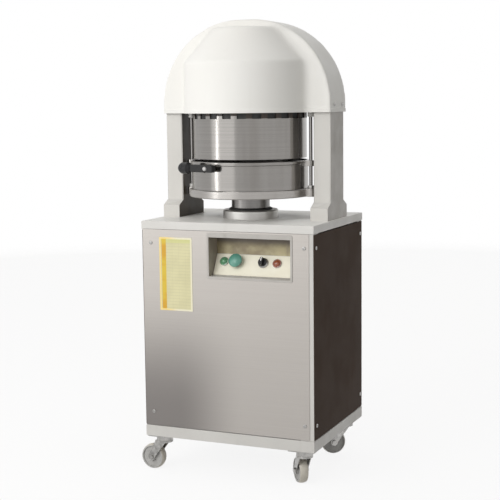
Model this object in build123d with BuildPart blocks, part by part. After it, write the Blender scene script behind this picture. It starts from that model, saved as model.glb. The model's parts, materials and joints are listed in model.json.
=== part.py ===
from build123d import *
import os
from math import asin, cos, hypot, pi, radians, sin, sqrt

os.makedirs("parts", exist_ok=True)

# A floor-standing dough divider. Millimetres, +X to its right, +Y to its back, +Z up.
# The origin is on the floor under the middle of the cabinet.

# Cabinet
cabinet_width = 530.0
cabinet_depth = 430.0
caster_height = 110.0
base_height = 32.0
body_height = 580.0
table_thickness = 23.0
table_edge_round = 3.0
table_overhang = 1.0
base_rail_width = 30.0
cross_rail_x = 110.0
caster_pad_thickness = 5.0
bottom_plate_thickness = 3.0
corner_leg = 40.0
corner_thickness = 3.0
sheet = 1.5
front_sheet_width = 500.0
sheet_margin = 2.5
side_sheet_margin = 1.0

# Fits
seat_gap = 0.3
running_fit = 0.05
slide_fit = 0.3

# Screws that hold the sheets and the hood
screw_head_radius = 5.5
screw_head_height = 2.2
screw_head_taper = 25.0
screw_shank_radius = 2.2
screw_hole_radius = 2.5
front_screw_inset_x = 14.0
front_screw_inset_top = 37.0
front_screw_inset_bottom = 40.0
side_screw_inset_y = 18.0

# Control recess in the front sheet
opening_centre_x = 72.5
opening_width = 247.0
opening_height = 111.0
opening_drop = 18.0
ledge_depth = 24.5
recess_depth = 56.5
slope_rise = 59.0
tray_wall = 1.5
bezel_side = 6.0
bezel_top = 13.0
bezel_bottom = 7.0
bezel_thickness = 2.0
control_plate_thickness = 2.0
control_plate_gap = 1.5
control_row = 42.0
green_lamp_x = -94.5
start_button_x = -55.5
selector_x = 25.5
red_lamp_x = 67.5
control_barrel_radius = 10.5
control_barrel_length = 24.0
control_bore_radius = 9.3
contact_block_width = 26.0
contact_block_depth = 30.0
lamp_bezel_radius = 13.2
lamp_bezel_height = 3.5
lamp_lens_height = 6.0
button_cap_radius = 20.0
button_cap_height = 11.0
button_cap_edge = 4.0
button_lift = 12.0
collar_radius = 15.0
collar_height = 6.0
collar_crown = 1.0
button_travel = 5.0
selector_base_radius = 12.5
selector_base_height = 5.0
selector_grip_width = 8.0
selector_grip_height = 11.0
selector_grip_inset = 0.6

# Plate on the front sheet
chart_left = -208.0
chart_width = 104.0
chart_height = 212.0
chart_drop = 22.0
chart_thickness = 1.0
chart_corner = 2.0

# Vents and cable entry in the rear sheet
vent_rows = 8
vent_length = 120.0
vent_width = 7.0
vent_pitch = 18.0
vent_centre_x = 110.0
vent_height_share = 0.62
gland_clearance = 17.5
gland_rise = 70.0
gland_bore_radius = 5.0
gland_body_radius = 11.0
gland_flange_radius = 15.0
gland_flange_length = 4.0
gland_length = 22.0
gland_edge = 2.0
gland_nut_length = 9.0

# Pan, ram and lift
pan_axis_y = -28.0
flange_height = 25.0
flange_radius = 81.0
flange_edge = 3.0
barrel_radius = 72.0
barrel_clearance = 19.0
barrel_floor = 18.0
oil_bore_radius = 60.0
bush_length = 80.0
seal_radius = 64.0
seal_height = 6.0
seal_lip = 2.0
ram_radius = 56.0
ram_wall = 12.0
ram_stand_off = 40.0
disc_radius = 178.0
disc_thickness = 23.0
disc_edge = 2.0
rod_x = 189.0
rod_radius = 5.0
rod_length = 240.0
lug_width = 28.0
rod_nut_across_flats = 17.0
rod_nut_height = 9.0
rod_cap_radius = 9.0
rod_cap_height = 16.0
rod_cap_depth = 12.0

# Ring that stands on the disc and is lifted by hand
ring_radius = 170.0
ring_height = 72.0
lip_height = 9.0
lip_radius = 172.5
lip_edge = 2.0
ear_height = 16.0
lever_angle = 17.0
lever_drop = 8.0
lever_boss_radius = 12.0
lever_stand_off = 13.0
boss_sink = 2.0
lever_thickness = 15.0
lever_height = 21.0
lever_reach = 60.0
lever_corner = 6.0
lever_edge = 3.0
lever_tail = 26.0
lever_screw_radius = 5.0
lever_screw_head = 7.0
lever_screw_head_height = 4.0
knob_radius = 16.5
knob_length = 44.0
knob_neck = 8.0
knob_shoulder = 8.0

# Cutting head: drum, knives and press plates
drum_gap = 7.0
drum_radius = 166.0
drum_wall = 4.0
drum_height = 114.0
notch_height = 16.0
notch_count = 24
notch_width = 26.0
knife_thickness = 2.0
knife_height = 84.0
knife_bevel = 5.0
inner_cells = 6
middle_cells = 12
outer_cells = 18
plate_gap = 1.0
plate_rise = 2.0
plate_thickness = 12.0
plate_travel = 50.0
stem_width = 9.0
inner_stem_share = 0.62
head_plate_thickness = 15.0
pressure_plate_radius = 152.0
pressure_plate_thickness = 12.0
tie_radius = 12.0
spring_wall = 4.0
spring_solid_height = 22.0

# Arch: posts, crosshead and hood
hood_half_width = 262.0
hood_height = 265.0
hood_corner = 241.0
hood_depth = 134.0
hood_centre_y = 1.0
hood_wall = 3.0
hood_drum_radius = 190.0
hood_crease = 143.0
hood_cone_radius = 104.0
hood_cone_drop = 23.0
hood_blend = 44.0
hood_top_blend = 3.0
hood_blend_sink = 0.6
hood_blend_half_width = 222.0
hood_blend_landing = 1.0
hood_top_half_width = 108.0
hood_crease_bevel = 9.0
hood_edge_round = 2.0
hood_overlap = 30.0
hood_screw_rise = 21.0
hood_screw_spacing = 66.0
post_width = 52.0
post_depth = 114.0
post_wall = 6.0
post_foot_height = 36.0
post_foot_reach = 27.0
post_shoulder = 14.0
post_edge_round = 4.0
crosshead_depth = 84.0
crosshead_centre_y = -5.0
crosshead_height = 65.0
crosshead_clearance = 9.0

# Power unit inside the cabinet
tank_width = 160.0
tank_depth = 210.0
tank_height = 160.0
tank_clearance = 19.5
tank_offset = 73.0
tank_wall = 3.0
tank_corner = 10.0
tank_lid_thickness = 6.0
breather_radius = 12.0
breather_height = 24.0
motor_radius = 62.0
motor_length = 190.0
motor_flange_radius = 70.0
motor_flange = 9.0
motor_hood_length = 40.0
motor_hood_edge = 8.0
pump_radius = 32.0
pump_length = 100.0
motor_offset = 30.0
motor_fin_count = 20
motor_fin_height = 5.0
motor_fin_width = 3.0
valve_width = 60.0
valve_depth = 56.0
valve_height = 90.0
solenoid_radius = 17.0
solenoid_height = 36.0
port_rise = 46.0
port_radius = 14.0
port_reach = 14.0
pipe_radius = 7.0
pipe_bore_radius = 4.0
union_radius = 11.0
union_share = 0.27
electric_box_width = 130.0
electric_box_depth = 150.0
electric_box_height = 220.0
electric_box_side_clearance = 29.5
electric_box_rear_clearance = 54.5
electric_box_round = 6.0
electric_box_wall = 2.0

# Casters
caster_inset_x = 43.0
caster_inset_y = 36.0
caster_plate_width = 78.0
caster_plate_depth = 64.0
caster_plate_thickness = 4.0
caster_race_radius = 24.0
caster_race_height = 14.0
caster_pin_radius = 6.0
caster_pin_head_radius = 10.0
caster_pin_head_height = 3.0
caster_crown_thickness = 6.0
caster_crown_radius = 24.0
caster_trail = 38.0
wheel_radius = 37.5
wheel_width = 25.0
wheel_crown = 3.0
wheel_hub_radius = 12.0
wheel_rim_depth = 7.0
wheel_web_inset = 4.0
axle_radius = 4.0
axle_head_radius = 7.0
axle_head_height = 4.0
fork_gap = 2.5
fork_thickness = 3.0
fork_boss_radius = 11.0
fork_back = 14.0
fork_front = 22.0
front_left_heading = 177.0
back_left_heading = -37.0
front_right_heading = 128.0
back_right_heading = 212.0

# Heights, from the floor up
base_bottom = caster_height
base_top = base_bottom + base_height
body_top = base_top + body_height
table_top_z = body_top + table_thickness
flange_top = table_top_z + flange_height
disc_bottom = flange_top + ram_stand_off
disc_top = disc_bottom + disc_thickness
ring_top = disc_top + ring_height + lip_height
knife_edge = ring_top + drum_gap
drum_wall_top = knife_edge + drum_height
head_bottom = drum_wall_top + notch_height
head_top = head_bottom + head_plate_thickness
pressure_top = head_top + pressure_plate_thickness
beam_bottom = pressure_top + plate_travel + spring_solid_height
beam_top = beam_bottom + crosshead_height
hood_top = head_bottom + hood_height
post_top = head_bottom + hood_overlap

# Faces and centres that several pieces share
base_half_x = cabinet_width / 2 - table_overhang
base_half_y = cabinet_depth / 2 - table_overhang
frame_half_x = base_half_x - sheet
frame_half_y = base_half_y - sheet
front_face = Plane(origin=(0, -base_half_y, 0), x_dir=(1, 0, 0), z_dir=(0, -1, 0))
rear_face = Plane(origin=(0, base_half_y, 0), x_dir=(-1, 0, 0), z_dir=(0, 1, 0))
right_face = Plane(origin=(base_half_x, 0, 0), x_dir=(0, 1, 0), z_dir=(1, 0, 0))
left_face = Plane(origin=(-base_half_x, 0, 0), x_dir=(0, -1, 0), z_dir=(-1, 0, 0))
pan_centre = Plane(origin=(0, pan_axis_y, 0))
pan_section = Plane(origin=(0, pan_axis_y, 0), x_dir=(1, 0, 0), z_dir=(0, -1, 0))
pan_axis = Axis((0, pan_axis_y, 0), (0, 0, 1))
sheet_bottom = base_top + sheet_margin
sheet_top = body_top - sheet_margin
sheet_height = sheet_top - sheet_bottom
front_screw_x = front_sheet_width / 2 - front_screw_inset_x
screw_rows = (sheet_bottom + front_screw_inset_bottom, sheet_top - front_screw_inset_top)
front_screws = [(x, z) for x in (-front_screw_x, front_screw_x) for z in screw_rows]
side_sheet_width = 2 * (frame_half_y - side_sheet_margin)
side_screw_y = frame_half_y - side_screw_inset_y
side_screws = [(y, z) for y in (-side_screw_y, side_screw_y) for z in screw_rows]


def write_node(piece, node):
    piece.part.label = node
    export_step(piece.part, f"parts/{node}.step")


def dome_middle(radius, foot, height):
    # Halfway point of the arc from the rim of a ball-shaped dome to its top, as radius and height
    ball = (radius**2 + height**2) / (2 * height)
    half_angle = asin(radius / ball) / 2
    return ball * sin(half_angle), foot + height - ball * (1 - cos(half_angle))


# Base frame: a ring of rails, two cross rails and a pad over each caster
caster_x = base_half_x - caster_inset_x
caster_y = base_half_y - caster_inset_y
caster_spots = [(x, y) for x in (-caster_x, caster_x) for y in (-caster_y, caster_y)]
with BuildPart() as base_frame:
    with BuildSketch(Plane.XY.offset(base_bottom)):
        Rectangle(2 * base_half_x, 2 * base_half_y)
        inside = base_rail_width
        Rectangle(2 * (base_half_x - inside), 2 * (base_half_y - inside), mode=Mode.SUBTRACT)
        with Locations((-cross_rail_x, 0), (cross_rail_x, 0)):
            Rectangle(base_rail_width, 2 * base_half_y - base_rail_width)
    extrude(amount=base_height)
    with BuildSketch(Plane.XY.offset(base_bottom)):
        with Locations(*caster_spots):
            Rectangle(2 * caster_inset_x, 2 * caster_inset_y)
    extrude(amount=caster_pad_thickness)
write_node(base_frame, "base_frame")

with BuildPart() as bottom_plate:
    with BuildSketch(Plane.XY.offset(base_top)):
        inside = corner_thickness + seat_gap
        Rectangle(2 * (frame_half_x - inside), 2 * (frame_half_y - inside))
    extrude(amount=bottom_plate_thickness)
write_node(bottom_plate, "bottom_plate")

# Four angle posts between the base frame and the table
with BuildPart() as corner_posts:
    with BuildSketch(Plane.XY.offset(base_top)):
        Rectangle(2 * frame_half_x, 2 * frame_half_y)
        inside = corner_thickness
        Rectangle(2 * (frame_half_x - inside), 2 * (frame_half_y - inside), mode=Mode.SUBTRACT)
        Rectangle(2 * (frame_half_x - corner_leg), 2 * frame_half_y, mode=Mode.SUBTRACT)
        Rectangle(2 * frame_half_x, 2 * (frame_half_y - corner_leg), mode=Mode.SUBTRACT)
    extrude(amount=body_height)
write_node(corner_posts, "corner_posts")

# Table plate with the hole that the lift cylinder hangs in
with BuildPart() as table_top:
    with BuildSketch(Plane.XY.offset(body_top)):
        Rectangle(cabinet_width, cabinet_depth)
    extrude(amount=table_thickness)
    fillet(table_top.faces().sort_by(Axis.Z)[-1].edges(), table_edge_round)
    with BuildSketch(pan_centre.offset(body_top)):
        Circle(barrel_radius + seat_gap)
    extrude(amount=table_thickness, mode=Mode.SUBTRACT)
write_node(table_top, "table_top")

# Sheets. The front one has the control opening and the rear one the vents and the cable entry
opening_top = body_top - opening_drop
opening_bottom = opening_top - opening_height
opening_centre_z = (opening_top + opening_bottom) / 2
sheet_centre_z = (sheet_top + sheet_bottom) / 2
with BuildPart() as front_panel:
    with BuildSketch(front_face):
        with Locations((0, sheet_centre_z)):
            Rectangle(front_sheet_width, sheet_height)
        with Locations((opening_centre_x, opening_centre_z)):
            Rectangle(opening_width, opening_height, mode=Mode.SUBTRACT)
        with Locations(*front_screws):
            Circle(screw_hole_radius, mode=Mode.SUBTRACT)
    extrude(amount=-sheet)
write_node(front_panel, "front_panel")

gland_x = frame_half_x - corner_leg - gland_clearance - gland_flange_radius
gland_z = sheet_bottom + gland_rise
with BuildPart() as rear_panel:
    with BuildSketch(rear_face):
        with Locations((0, sheet_centre_z)):
            Rectangle(front_sheet_width, sheet_height)
        with Locations(*front_screws):
            Circle(screw_hole_radius, mode=Mode.SUBTRACT)
        with Locations((-gland_x, gland_z)):
            Circle(gland_body_radius + seat_gap, mode=Mode.SUBTRACT)
        vent_z = sheet_bottom + vent_height_share * sheet_height
        for side in (-vent_centre_x, vent_centre_x):
            with Locations((side, vent_z)):
                with GridLocations(vent_length, vent_pitch, 1, vent_rows):
                    SlotOverall(vent_length, vent_width, mode=Mode.SUBTRACT)
    extrude(amount=-sheet)
write_node(rear_panel, "rear_panel")

for face, node in ((left_face, "left_side_panel"), (right_face, "right_side_panel")):
    with BuildPart() as side_panel:
        with BuildSketch(face):
            with Locations((0, sheet_centre_z)):
                Rectangle(side_sheet_width, sheet_height)
            with Locations(*side_screws):
                Circle(screw_hole_radius, mode=Mode.SUBTRACT)
        extrude(amount=-sheet)
    write_node(side_panel, node)

with BuildPart() as panel_screws:
    for face, spots in (
        (front_face, front_screws),
        (rear_face, front_screws),
        (left_face, side_screws),
        (right_face, side_screws),
    ):
        with BuildSketch(face):
            with Locations(*spots):
                Circle(screw_head_radius)
        extrude(amount=screw_head_height, taper=screw_head_taper)
        with BuildSketch(face):
            with Locations(*spots):
                Circle(screw_shank_radius)
        extrude(amount=-sheet)
write_node(panel_screws, "panel_screws")

# Gland for the supply cable: flange outside, threaded body through the sheet, nut inside
gland_face = Plane(origin=(gland_x, base_half_y, gland_z), x_dir=(-1, 0, 0), z_dir=(0, 1, 0))
with BuildPart() as cable_gland:
    with BuildSketch(gland_face):
        RegularPolygon(gland_flange_radius, 6)
    extrude(amount=gland_flange_length)
    with BuildSketch(gland_face.offset(-sheet - gland_nut_length)):
        Circle(gland_body_radius)
    extrude(amount=sheet + gland_nut_length + gland_length)
    with BuildSketch(gland_face.offset(-sheet)):
        RegularPolygon(gland_flange_radius, 6)
    extrude(amount=-gland_nut_length)
    with BuildSketch(gland_face.offset(gland_length)):
        Circle(gland_bore_radius)
    extrude(amount=-(gland_length + sheet + gland_nut_length), mode=Mode.SUBTRACT)
    gland_rim = cable_gland.faces().sort_by(Axis.Y)[-1].edges().sort_by(SortBy.LENGTH)[-1]
    chamfer(gland_rim, gland_edge)
write_node(cable_gland, "cable_gland")

# Control recess: a folded tray with a sloping back, a frame round its mouth and the control plate
tray_front_y = -frame_half_y
slope_foot = (-base_half_y + ledge_depth, opening_bottom)
slope_head = (-base_half_y + recess_depth, opening_bottom + slope_rise)
slope_run = slope_head[0] - slope_foot[0]
slope_length = hypot(slope_run, slope_rise)
slope_normal = (0, -slope_rise / slope_length, slope_run / slope_length)
tray_side = Plane(origin=(opening_centre_x, 0, 0), x_dir=(0, 1, 0), z_dir=(1, 0, 0))
wall_shift = tray_wall * slope_length / slope_rise
with BuildPart() as control_tray:
    with BuildSketch(tray_side):
        with BuildLine():
            Polyline(
                (tray_front_y, opening_bottom - tray_wall),
                (slope_foot[0] + wall_shift - tray_wall * slope_run / slope_rise, opening_bottom - tray_wall),
                (
                    slope_head[0] + tray_wall,
                    slope_head[1] + (tray_wall - wall_shift) * slope_rise / slope_run,
                ),
                (slope_head[0] + tray_wall, opening_top + tray_wall),
                (tray_front_y, opening_top + tray_wall),
                close=True,
            )
        make_face()
    extrude(amount=opening_width / 2 + tray_wall, both=True)
    with BuildSketch(tray_side):
        with BuildLine():
            Polyline(
                (tray_front_y, opening_bottom),
                slope_foot,
                slope_head,
                (slope_head[0], opening_top),
                (tray_front_y, opening_top),
                close=True,
            )
        make_face()
    extrude(amount=opening_width / 2, both=True, mode=Mode.SUBTRACT)
    slope_plane = Plane(
        origin=(opening_centre_x, slope_foot[0], slope_foot[1]), x_dir=(1, 0, 0), z_dir=slope_normal
    )
    control_spots = [(x, control_row) for x in (green_lamp_x, start_button_x, selector_x, red_lamp_x)]
    with BuildSketch(slope_plane):
        with Locations(*control_spots):
            Circle(control_barrel_radius + seat_gap)
    extrude(amount=-2 * tray_wall, mode=Mode.SUBTRACT)
write_node(control_tray, "control_tray")

with BuildPart() as control_bezel:
    with BuildSketch(front_face):
        bezel_centre_z = opening_centre_z + (bezel_top - bezel_bottom) / 2
        with Locations((opening_centre_x, bezel_centre_z)):
            RectangleRounded(
                opening_width + 2 * bezel_side, opening_height + bezel_top + bezel_bottom, bezel_side
            )
        with Locations((opening_centre_x, opening_centre_z)):
            Rectangle(opening_width, opening_height, mode=Mode.SUBTRACT)
    extrude(amount=bezel_thickness)
write_node(control_bezel, "control_bezel")

with BuildPart() as control_panel:
    with BuildSketch(slope_plane):
        with Locations((0, slope_length / 2)):
            Rectangle(opening_width - 2 * control_plate_gap, slope_length - 2 * control_plate_gap)
        with Locations(*control_spots):
            Circle(control_barrel_radius + seat_gap, mode=Mode.SUBTRACT)
    extrude(amount=control_plate_thickness)
write_node(control_panel, "control_panel")

control_face = slope_plane.offset(control_plate_thickness)


def control_section(x):
    centre = control_face.from_local_coords((x, control_row, 0))
    return Plane(origin=centre, x_dir=(1, 0, 0), z_dir=-control_face.y_dir), Axis(centre, control_face.z_dir)


for lamp_x, node in ((green_lamp_x, "green_lamp"), (red_lamp_x, "red_lamp")):
    lamp_plane, lamp_axis = control_section(lamp_x)
    lens_radius = control_barrel_radius
    with BuildPart() as lamp:
        with BuildSketch(lamp_plane):
            with BuildLine():
                Polyline(
                    (0, lamp_bezel_height + lamp_lens_height),
                    (0, -control_barrel_length),
                    (control_barrel_radius, -control_barrel_length),
                    (control_barrel_radius, 0),
                    (lamp_bezel_radius, 0),
                    (lamp_bezel_radius, lamp_bezel_height),
                    (lens_radius, lamp_bezel_height),
                )
                ThreePointArc(
                    (lens_radius, lamp_bezel_height),
                    dome_middle(lens_radius, lamp_bezel_height, lamp_lens_height),
                    (0, lamp_bezel_height + lamp_lens_height),
                )
            make_face()
        revolve(axis=lamp_axis)
    write_node(lamp, node)

with BuildPart() as control_collars:
    for control_x in (start_button_x, selector_x):
        collar_plane, collar_axis = control_section(control_x)
        with BuildSketch(collar_plane):
            with BuildLine():
                Polyline(
                    (control_bore_radius, collar_height),
                    (control_bore_radius, -control_barrel_length),
                    (control_barrel_radius, -control_barrel_length),
                    (control_barrel_radius, 0),
                    (collar_radius, 0),
                    (collar_radius, collar_height / 2),
                    (control_barrel_radius + collar_crown, collar_height),
                    close=True,
                )
            make_face()
        revolve(axis=collar_axis)
write_node(control_collars, "control_collars")

start_plane, start_axis = control_section(start_button_x)
stem_radius = control_bore_radius - slide_fit
cap_top = button_lift + button_cap_height
cap_rim = button_lift + button_cap_edge
with BuildPart() as start_button:
    with BuildSketch(start_plane):
        with BuildLine():
            Polyline(
                (0, cap_top),
                (0, button_travel - control_barrel_length),
                (stem_radius, button_travel - control_barrel_length),
                (stem_radius, button_lift),
                (button_cap_radius, button_lift),
                (button_cap_radius, cap_rim),
            )
            ThreePointArc(
                (button_cap_radius, cap_rim),
                dome_middle(button_cap_radius, cap_rim, cap_top - cap_rim),
                (0, cap_top),
            )
        make_face()
    revolve(axis=start_axis)
write_node(start_button, "start_button")

selector_base = control_face.offset(collar_height + seat_gap)
with BuildPart() as selector_knob:
    with BuildSketch(selector_base):
        with Locations((selector_x, control_row)):
            Circle(selector_base_radius)
    extrude(amount=selector_base_height)
    with BuildSketch(selector_base):
        with Locations((selector_x, control_row)):
            Circle(stem_radius)
    extrude(amount=-control_barrel_length)
    with BuildSketch(selector_base.offset(selector_base_height)):
        with Locations((selector_x, control_row)):
            grip_length = 2 * (selector_base_radius - selector_grip_inset)
            SlotOverall(grip_length, selector_grip_width, rotation=90)
    extrude(amount=selector_grip_height)
write_node(selector_knob, "selector_knob")

with BuildPart() as contact_blocks:
    with BuildSketch(slope_plane.offset(-tray_wall)):
        with Locations(*control_spots):
            Rectangle(contact_block_width, contact_block_width)
            Circle(control_barrel_radius + seat_gap, mode=Mode.SUBTRACT)
    extrude(amount=-contact_block_depth)
write_node(contact_blocks, "contact_blocks")

with BuildPart() as chart_plate:
    with BuildSketch(front_face):
        with Locations((chart_left + chart_width / 2, body_top - chart_drop - chart_height / 2)):
            RectangleRounded(chart_width, chart_height, chart_corner)
    extrude(amount=chart_thickness)
write_node(chart_plate, "chart_plate")

# Lift cylinder: hangs in the table by its flange, with a port at the height of the valve block
floor_top = base_top + bottom_plate_thickness
tank_top = floor_top + tank_height
lid_top = tank_top + tank_lid_thickness
barrel_bottom = lid_top + barrel_clearance
oil_floor = barrel_bottom + barrel_floor
port_z = barrel_bottom + port_rise
with BuildPart() as ram_cylinder:
    with BuildSketch(pan_section):
        with BuildLine():
            Polyline(
                (0, barrel_bottom),
                (barrel_radius, barrel_bottom),
                (barrel_radius, table_top_z),
                (flange_radius, table_top_z),
                (flange_radius, flange_top - flange_edge),
                (flange_radius - flange_edge, flange_top),
                (oil_bore_radius, flange_top),
                (oil_bore_radius, oil_floor),
                (0, oil_floor),
                close=True,
            )
        make_face()
    revolve(axis=pan_axis)
    port_plane = Plane(
        origin=(-barrel_radius - port_reach, pan_axis_y, port_z), x_dir=(0, 1, 0), z_dir=(1, 0, 0)
    )
    with BuildSketch(port_plane):
        Circle(port_radius)
    extrude(amount=port_reach + barrel_radius - sqrt(barrel_radius**2 - port_radius**2) + seat_gap)
    with BuildSketch(port_plane):
        Circle(pipe_bore_radius)
    extrude(amount=port_reach + barrel_radius - oil_bore_radius + port_radius, mode=Mode.SUBTRACT)
write_node(ram_cylinder, "ram_cylinder")

with BuildPart() as guide_bush:
    with BuildSketch(pan_centre.offset(flange_top - bush_length)):
        Circle(oil_bore_radius - running_fit)
        Circle(ram_radius + running_fit, mode=Mode.SUBTRACT)
    extrude(amount=bush_length)
write_node(guide_bush, "guide_bush")

with BuildPart() as wiper_seal:
    with BuildSketch(pan_section):
        with BuildLine():
            Polyline(
                (ram_radius + slide_fit, flange_top),
                (seal_radius, flange_top),
                (seal_radius, flange_top + seal_height / 2),
                (ram_radius + seal_lip, flange_top + seal_height),
                (ram_radius + slide_fit, flange_top + seal_height),
                close=True,
            )
        make_face()
    revolve(axis=pan_axis)
write_node(wiper_seal, "wiper_seal")

# Ram: a hollow plunger that carries the disc, with two guide rods for the ring
with BuildPart() as ram_column:
    with BuildSketch(pan_centre.offset(oil_floor)):
        Circle(ram_radius)
    extrude(amount=disc_bottom - oil_floor)
    with BuildSketch(pan_centre.offset(disc_bottom)):
        Circle(ram_radius - ram_wall)
    extrude(amount=oil_floor + ram_wall - disc_bottom, mode=Mode.SUBTRACT)
write_node(ram_column, "ram_column")

lug_spots = [(-rod_x, 0), (rod_x, 0)]
with BuildPart() as pan_disc:
    with BuildSketch(pan_section):
        with BuildLine():
            Polyline(
                (0, disc_bottom),
                (disc_radius - disc_edge, disc_bottom),
                (disc_radius, disc_bottom + disc_edge),
                (disc_radius, disc_top - disc_edge),
                (disc_radius - disc_edge, disc_top),
                (0, disc_top),
                close=True,
            )
        make_face()
    revolve(axis=pan_axis)
    with BuildSketch(pan_centre.offset(disc_bottom)):
        SlotCenterToCenter(2 * rod_x, lug_width)
    extrude(amount=disc_thickness)
    with BuildSketch(pan_centre.offset(disc_bottom)):
        with Locations(*lug_spots):
            Circle(rod_radius + running_fit)
    extrude(amount=disc_thickness, mode=Mode.SUBTRACT)
write_node(pan_disc, "pan_disc")

rod_top = disc_bottom + rod_length
with BuildPart() as guide_rods:
    with BuildSketch(pan_centre.offset(disc_bottom)):
        with Locations(*lug_spots):
            Circle(rod_radius)
    extrude(amount=rod_length)
write_node(guide_rods, "guide_rods")

with BuildPart() as rod_nuts:
    with BuildSketch(pan_centre.offset(disc_top)):
        with Locations(*lug_spots):
            RegularPolygon(rod_nut_across_flats / 2, 6, major_radius=False)
            Circle(rod_radius + running_fit, mode=Mode.SUBTRACT)
    extrude(amount=rod_nut_height)
write_node(rod_nuts, "rod_nuts")

with BuildPart() as rod_caps:
    with BuildSketch(pan_centre.offset(rod_top - rod_cap_depth)):
        with Locations(*lug_spots):
            Circle(rod_cap_radius)
    extrude(amount=rod_cap_height)
    with BuildSketch(pan_centre.offset(rod_top - rod_cap_depth)):
        with Locations(*lug_spots):
            Circle(rod_radius + running_fit)
    extrude(amount=rod_cap_depth, mode=Mode.SUBTRACT)
write_node(rod_caps, "rod_caps")

# Ring: thin wall with a turned lip, an ear on each rod and a boss for the lever
ring_bore = drum_radius + 2 * slide_fit
lip_bottom = disc_top + ring_height
lever_z = lip_bottom - lever_drop
radial = Vector(-sin(radians(lever_angle)), -cos(radians(lever_angle)), 0)
tangent = Vector(-cos(radians(lever_angle)), sin(radians(lever_angle)), 0)
lever_radius = ring_radius + lever_stand_off
lever_foot = Vector(0, pan_axis_y, lever_z)
boss_plane = Plane(origin=lever_foot + radial * lever_radius, x_dir=tangent, z_dir=radial)
with BuildPart() as pan_ring:
    with BuildSketch(pan_section):
        with BuildLine():
            Polyline(
                (ring_bore, disc_top),
                (ring_radius, disc_top),
                (ring_radius, lip_bottom - lip_edge),
                (lip_radius, lip_bottom),
                (lip_radius, ring_top - lip_edge),
                (lip_radius - lip_edge, ring_top),
                (ring_bore, ring_top),
                close=True,
            )
        make_face()
    revolve(axis=pan_axis)
    with BuildSketch(pan_centre.offset(ring_top - ear_height)):
        SlotCenterToCenter(2 * rod_x, lug_width)
        Circle((ring_bore + ring_radius) / 2, mode=Mode.SUBTRACT)
        with Locations(*lug_spots):
            Circle(rod_radius + slide_fit, mode=Mode.SUBTRACT)
    extrude(amount=ear_height)
    with BuildSketch(boss_plane):
        Circle(lever_boss_radius)
    extrude(amount=-(lever_stand_off + boss_sink))
    with BuildSketch(boss_plane):
        Circle(lever_screw_radius + running_fit)
    extrude(amount=-lever_stand_off, mode=Mode.SUBTRACT)
write_node(pan_ring, "pan_ring")

# Lever on the ring: an arm along the ring's side, turned on a shoulder screw, with a knob at its end
lever_plane = boss_plane.offset(seat_gap)
with BuildPart() as ring_lever:
    with BuildSketch(lever_plane):
        with Locations(((lever_reach - lever_tail) / 2, 0)):
            RectangleRounded(lever_reach + lever_tail, lever_height, lever_corner)
    extrude(amount=lever_thickness)
    fillet(ring_lever.faces().sort_by(Axis((0, 0, 0), radial))[-1].edges(), lever_edge)
    with BuildSketch(lever_plane):
        Circle(lever_screw_radius + slide_fit)
    extrude(amount=lever_thickness, mode=Mode.SUBTRACT)
write_node(ring_lever, "ring_lever")

knob_origin = lever_plane.from_local_coords((lever_reach, 0, lever_thickness / 2))
knob_plane = Plane(origin=knob_origin, x_dir=tangent, z_dir=radial)
with BuildPart() as lever_knob:
    with BuildSketch(knob_plane):
        with BuildLine():
            knob_line = Polyline(
                (0, 0),
                (0, knob_neck),
                (knob_shoulder, knob_radius),
                (knob_length - knob_radius, knob_radius),
            )
            knob_end = TangentArc(knob_line @ 1, (knob_length, 0), tangent=(1, 0))
            Line(knob_end @ 1, (0, 0))
        make_face()
    revolve(axis=Axis(knob_origin, tangent))
write_node(lever_knob, "lever_knob")

with BuildPart() as lever_screw:
    with BuildSketch(boss_plane):
        Circle(lever_screw_radius)
    extrude(amount=2 * seat_gap + lever_thickness)
    with BuildSketch(boss_plane):
        Circle(lever_screw_radius)
    extrude(amount=-lever_stand_off)
    with BuildSketch(lever_plane.offset(lever_thickness + seat_gap)):
        Circle(lever_screw_head)
    extrude(amount=lever_screw_head_height, taper=screw_head_taper)
write_node(lever_screw, "lever_screw")

# Cutter drum: a rolled wall whose top edge is cut into tabs under the head plate
with BuildPart() as cutter_drum:
    with BuildSketch(pan_centre.offset(knife_edge)):
        Circle(drum_radius)
        Circle(drum_radius - drum_wall, mode=Mode.SUBTRACT)
    extrude(amount=drum_height + notch_height)
    with BuildSketch(pan_centre.offset(drum_wall_top)):
        with PolarLocations(drum_radius - drum_wall / 2, notch_count):
            Rectangle(3 * drum_wall, notch_width)
    extrude(amount=notch_height, mode=Mode.SUBTRACT)
write_node(cutter_drum, "cutter_drum")

# Knife basket: two round knives and straight knives between them, which make cells of equal area
cell_count = inner_cells + middle_cells + outer_cells
knife_radius = drum_radius - drum_wall - seat_gap
inner_ring = knife_radius * sqrt(inner_cells / cell_count)
middle_ring = knife_radius * sqrt((inner_cells + middle_cells) / cell_count)
knife_bands = [
    (inner_cells, 0, inner_ring),
    (middle_cells, inner_ring, middle_ring),
    (outer_cells, middle_ring, knife_radius),
]
knife_top = knife_edge + knife_height


def knife_outline(centre, top):
    half = knife_thickness / 2
    return Polyline(
        (centre - half, top),
        (centre - half, knife_edge + knife_bevel),
        (centre, knife_edge),
        (centre + half, knife_edge + knife_bevel),
        (centre + half, top),
        close=True,
    )


with BuildPart() as knife_basket:
    for radius in (inner_ring, middle_ring):
        with BuildSketch(pan_section):
            with BuildLine():
                knife_outline(radius, knife_top)
            make_face()
        revolve(axis=pan_axis)
    for count, start, end in knife_bands:
        for index in range(count):
            turn = 2 * pi * index / count
            outward = Vector(cos(turn), sin(turn), 0)
            across = Vector(-sin(turn), cos(turn), 0)
            hangs = end == knife_radius and index % (outer_cells // inner_cells) == 0
            with BuildSketch(Plane(origin=pan_axis.position + outward * start, x_dir=across, z_dir=outward)):
                with BuildLine():
                    knife_outline(0, head_bottom if hangs else knife_top)
                make_face()
            extrude(amount=end - start)
write_node(knife_basket, "knife_basket")

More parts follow.
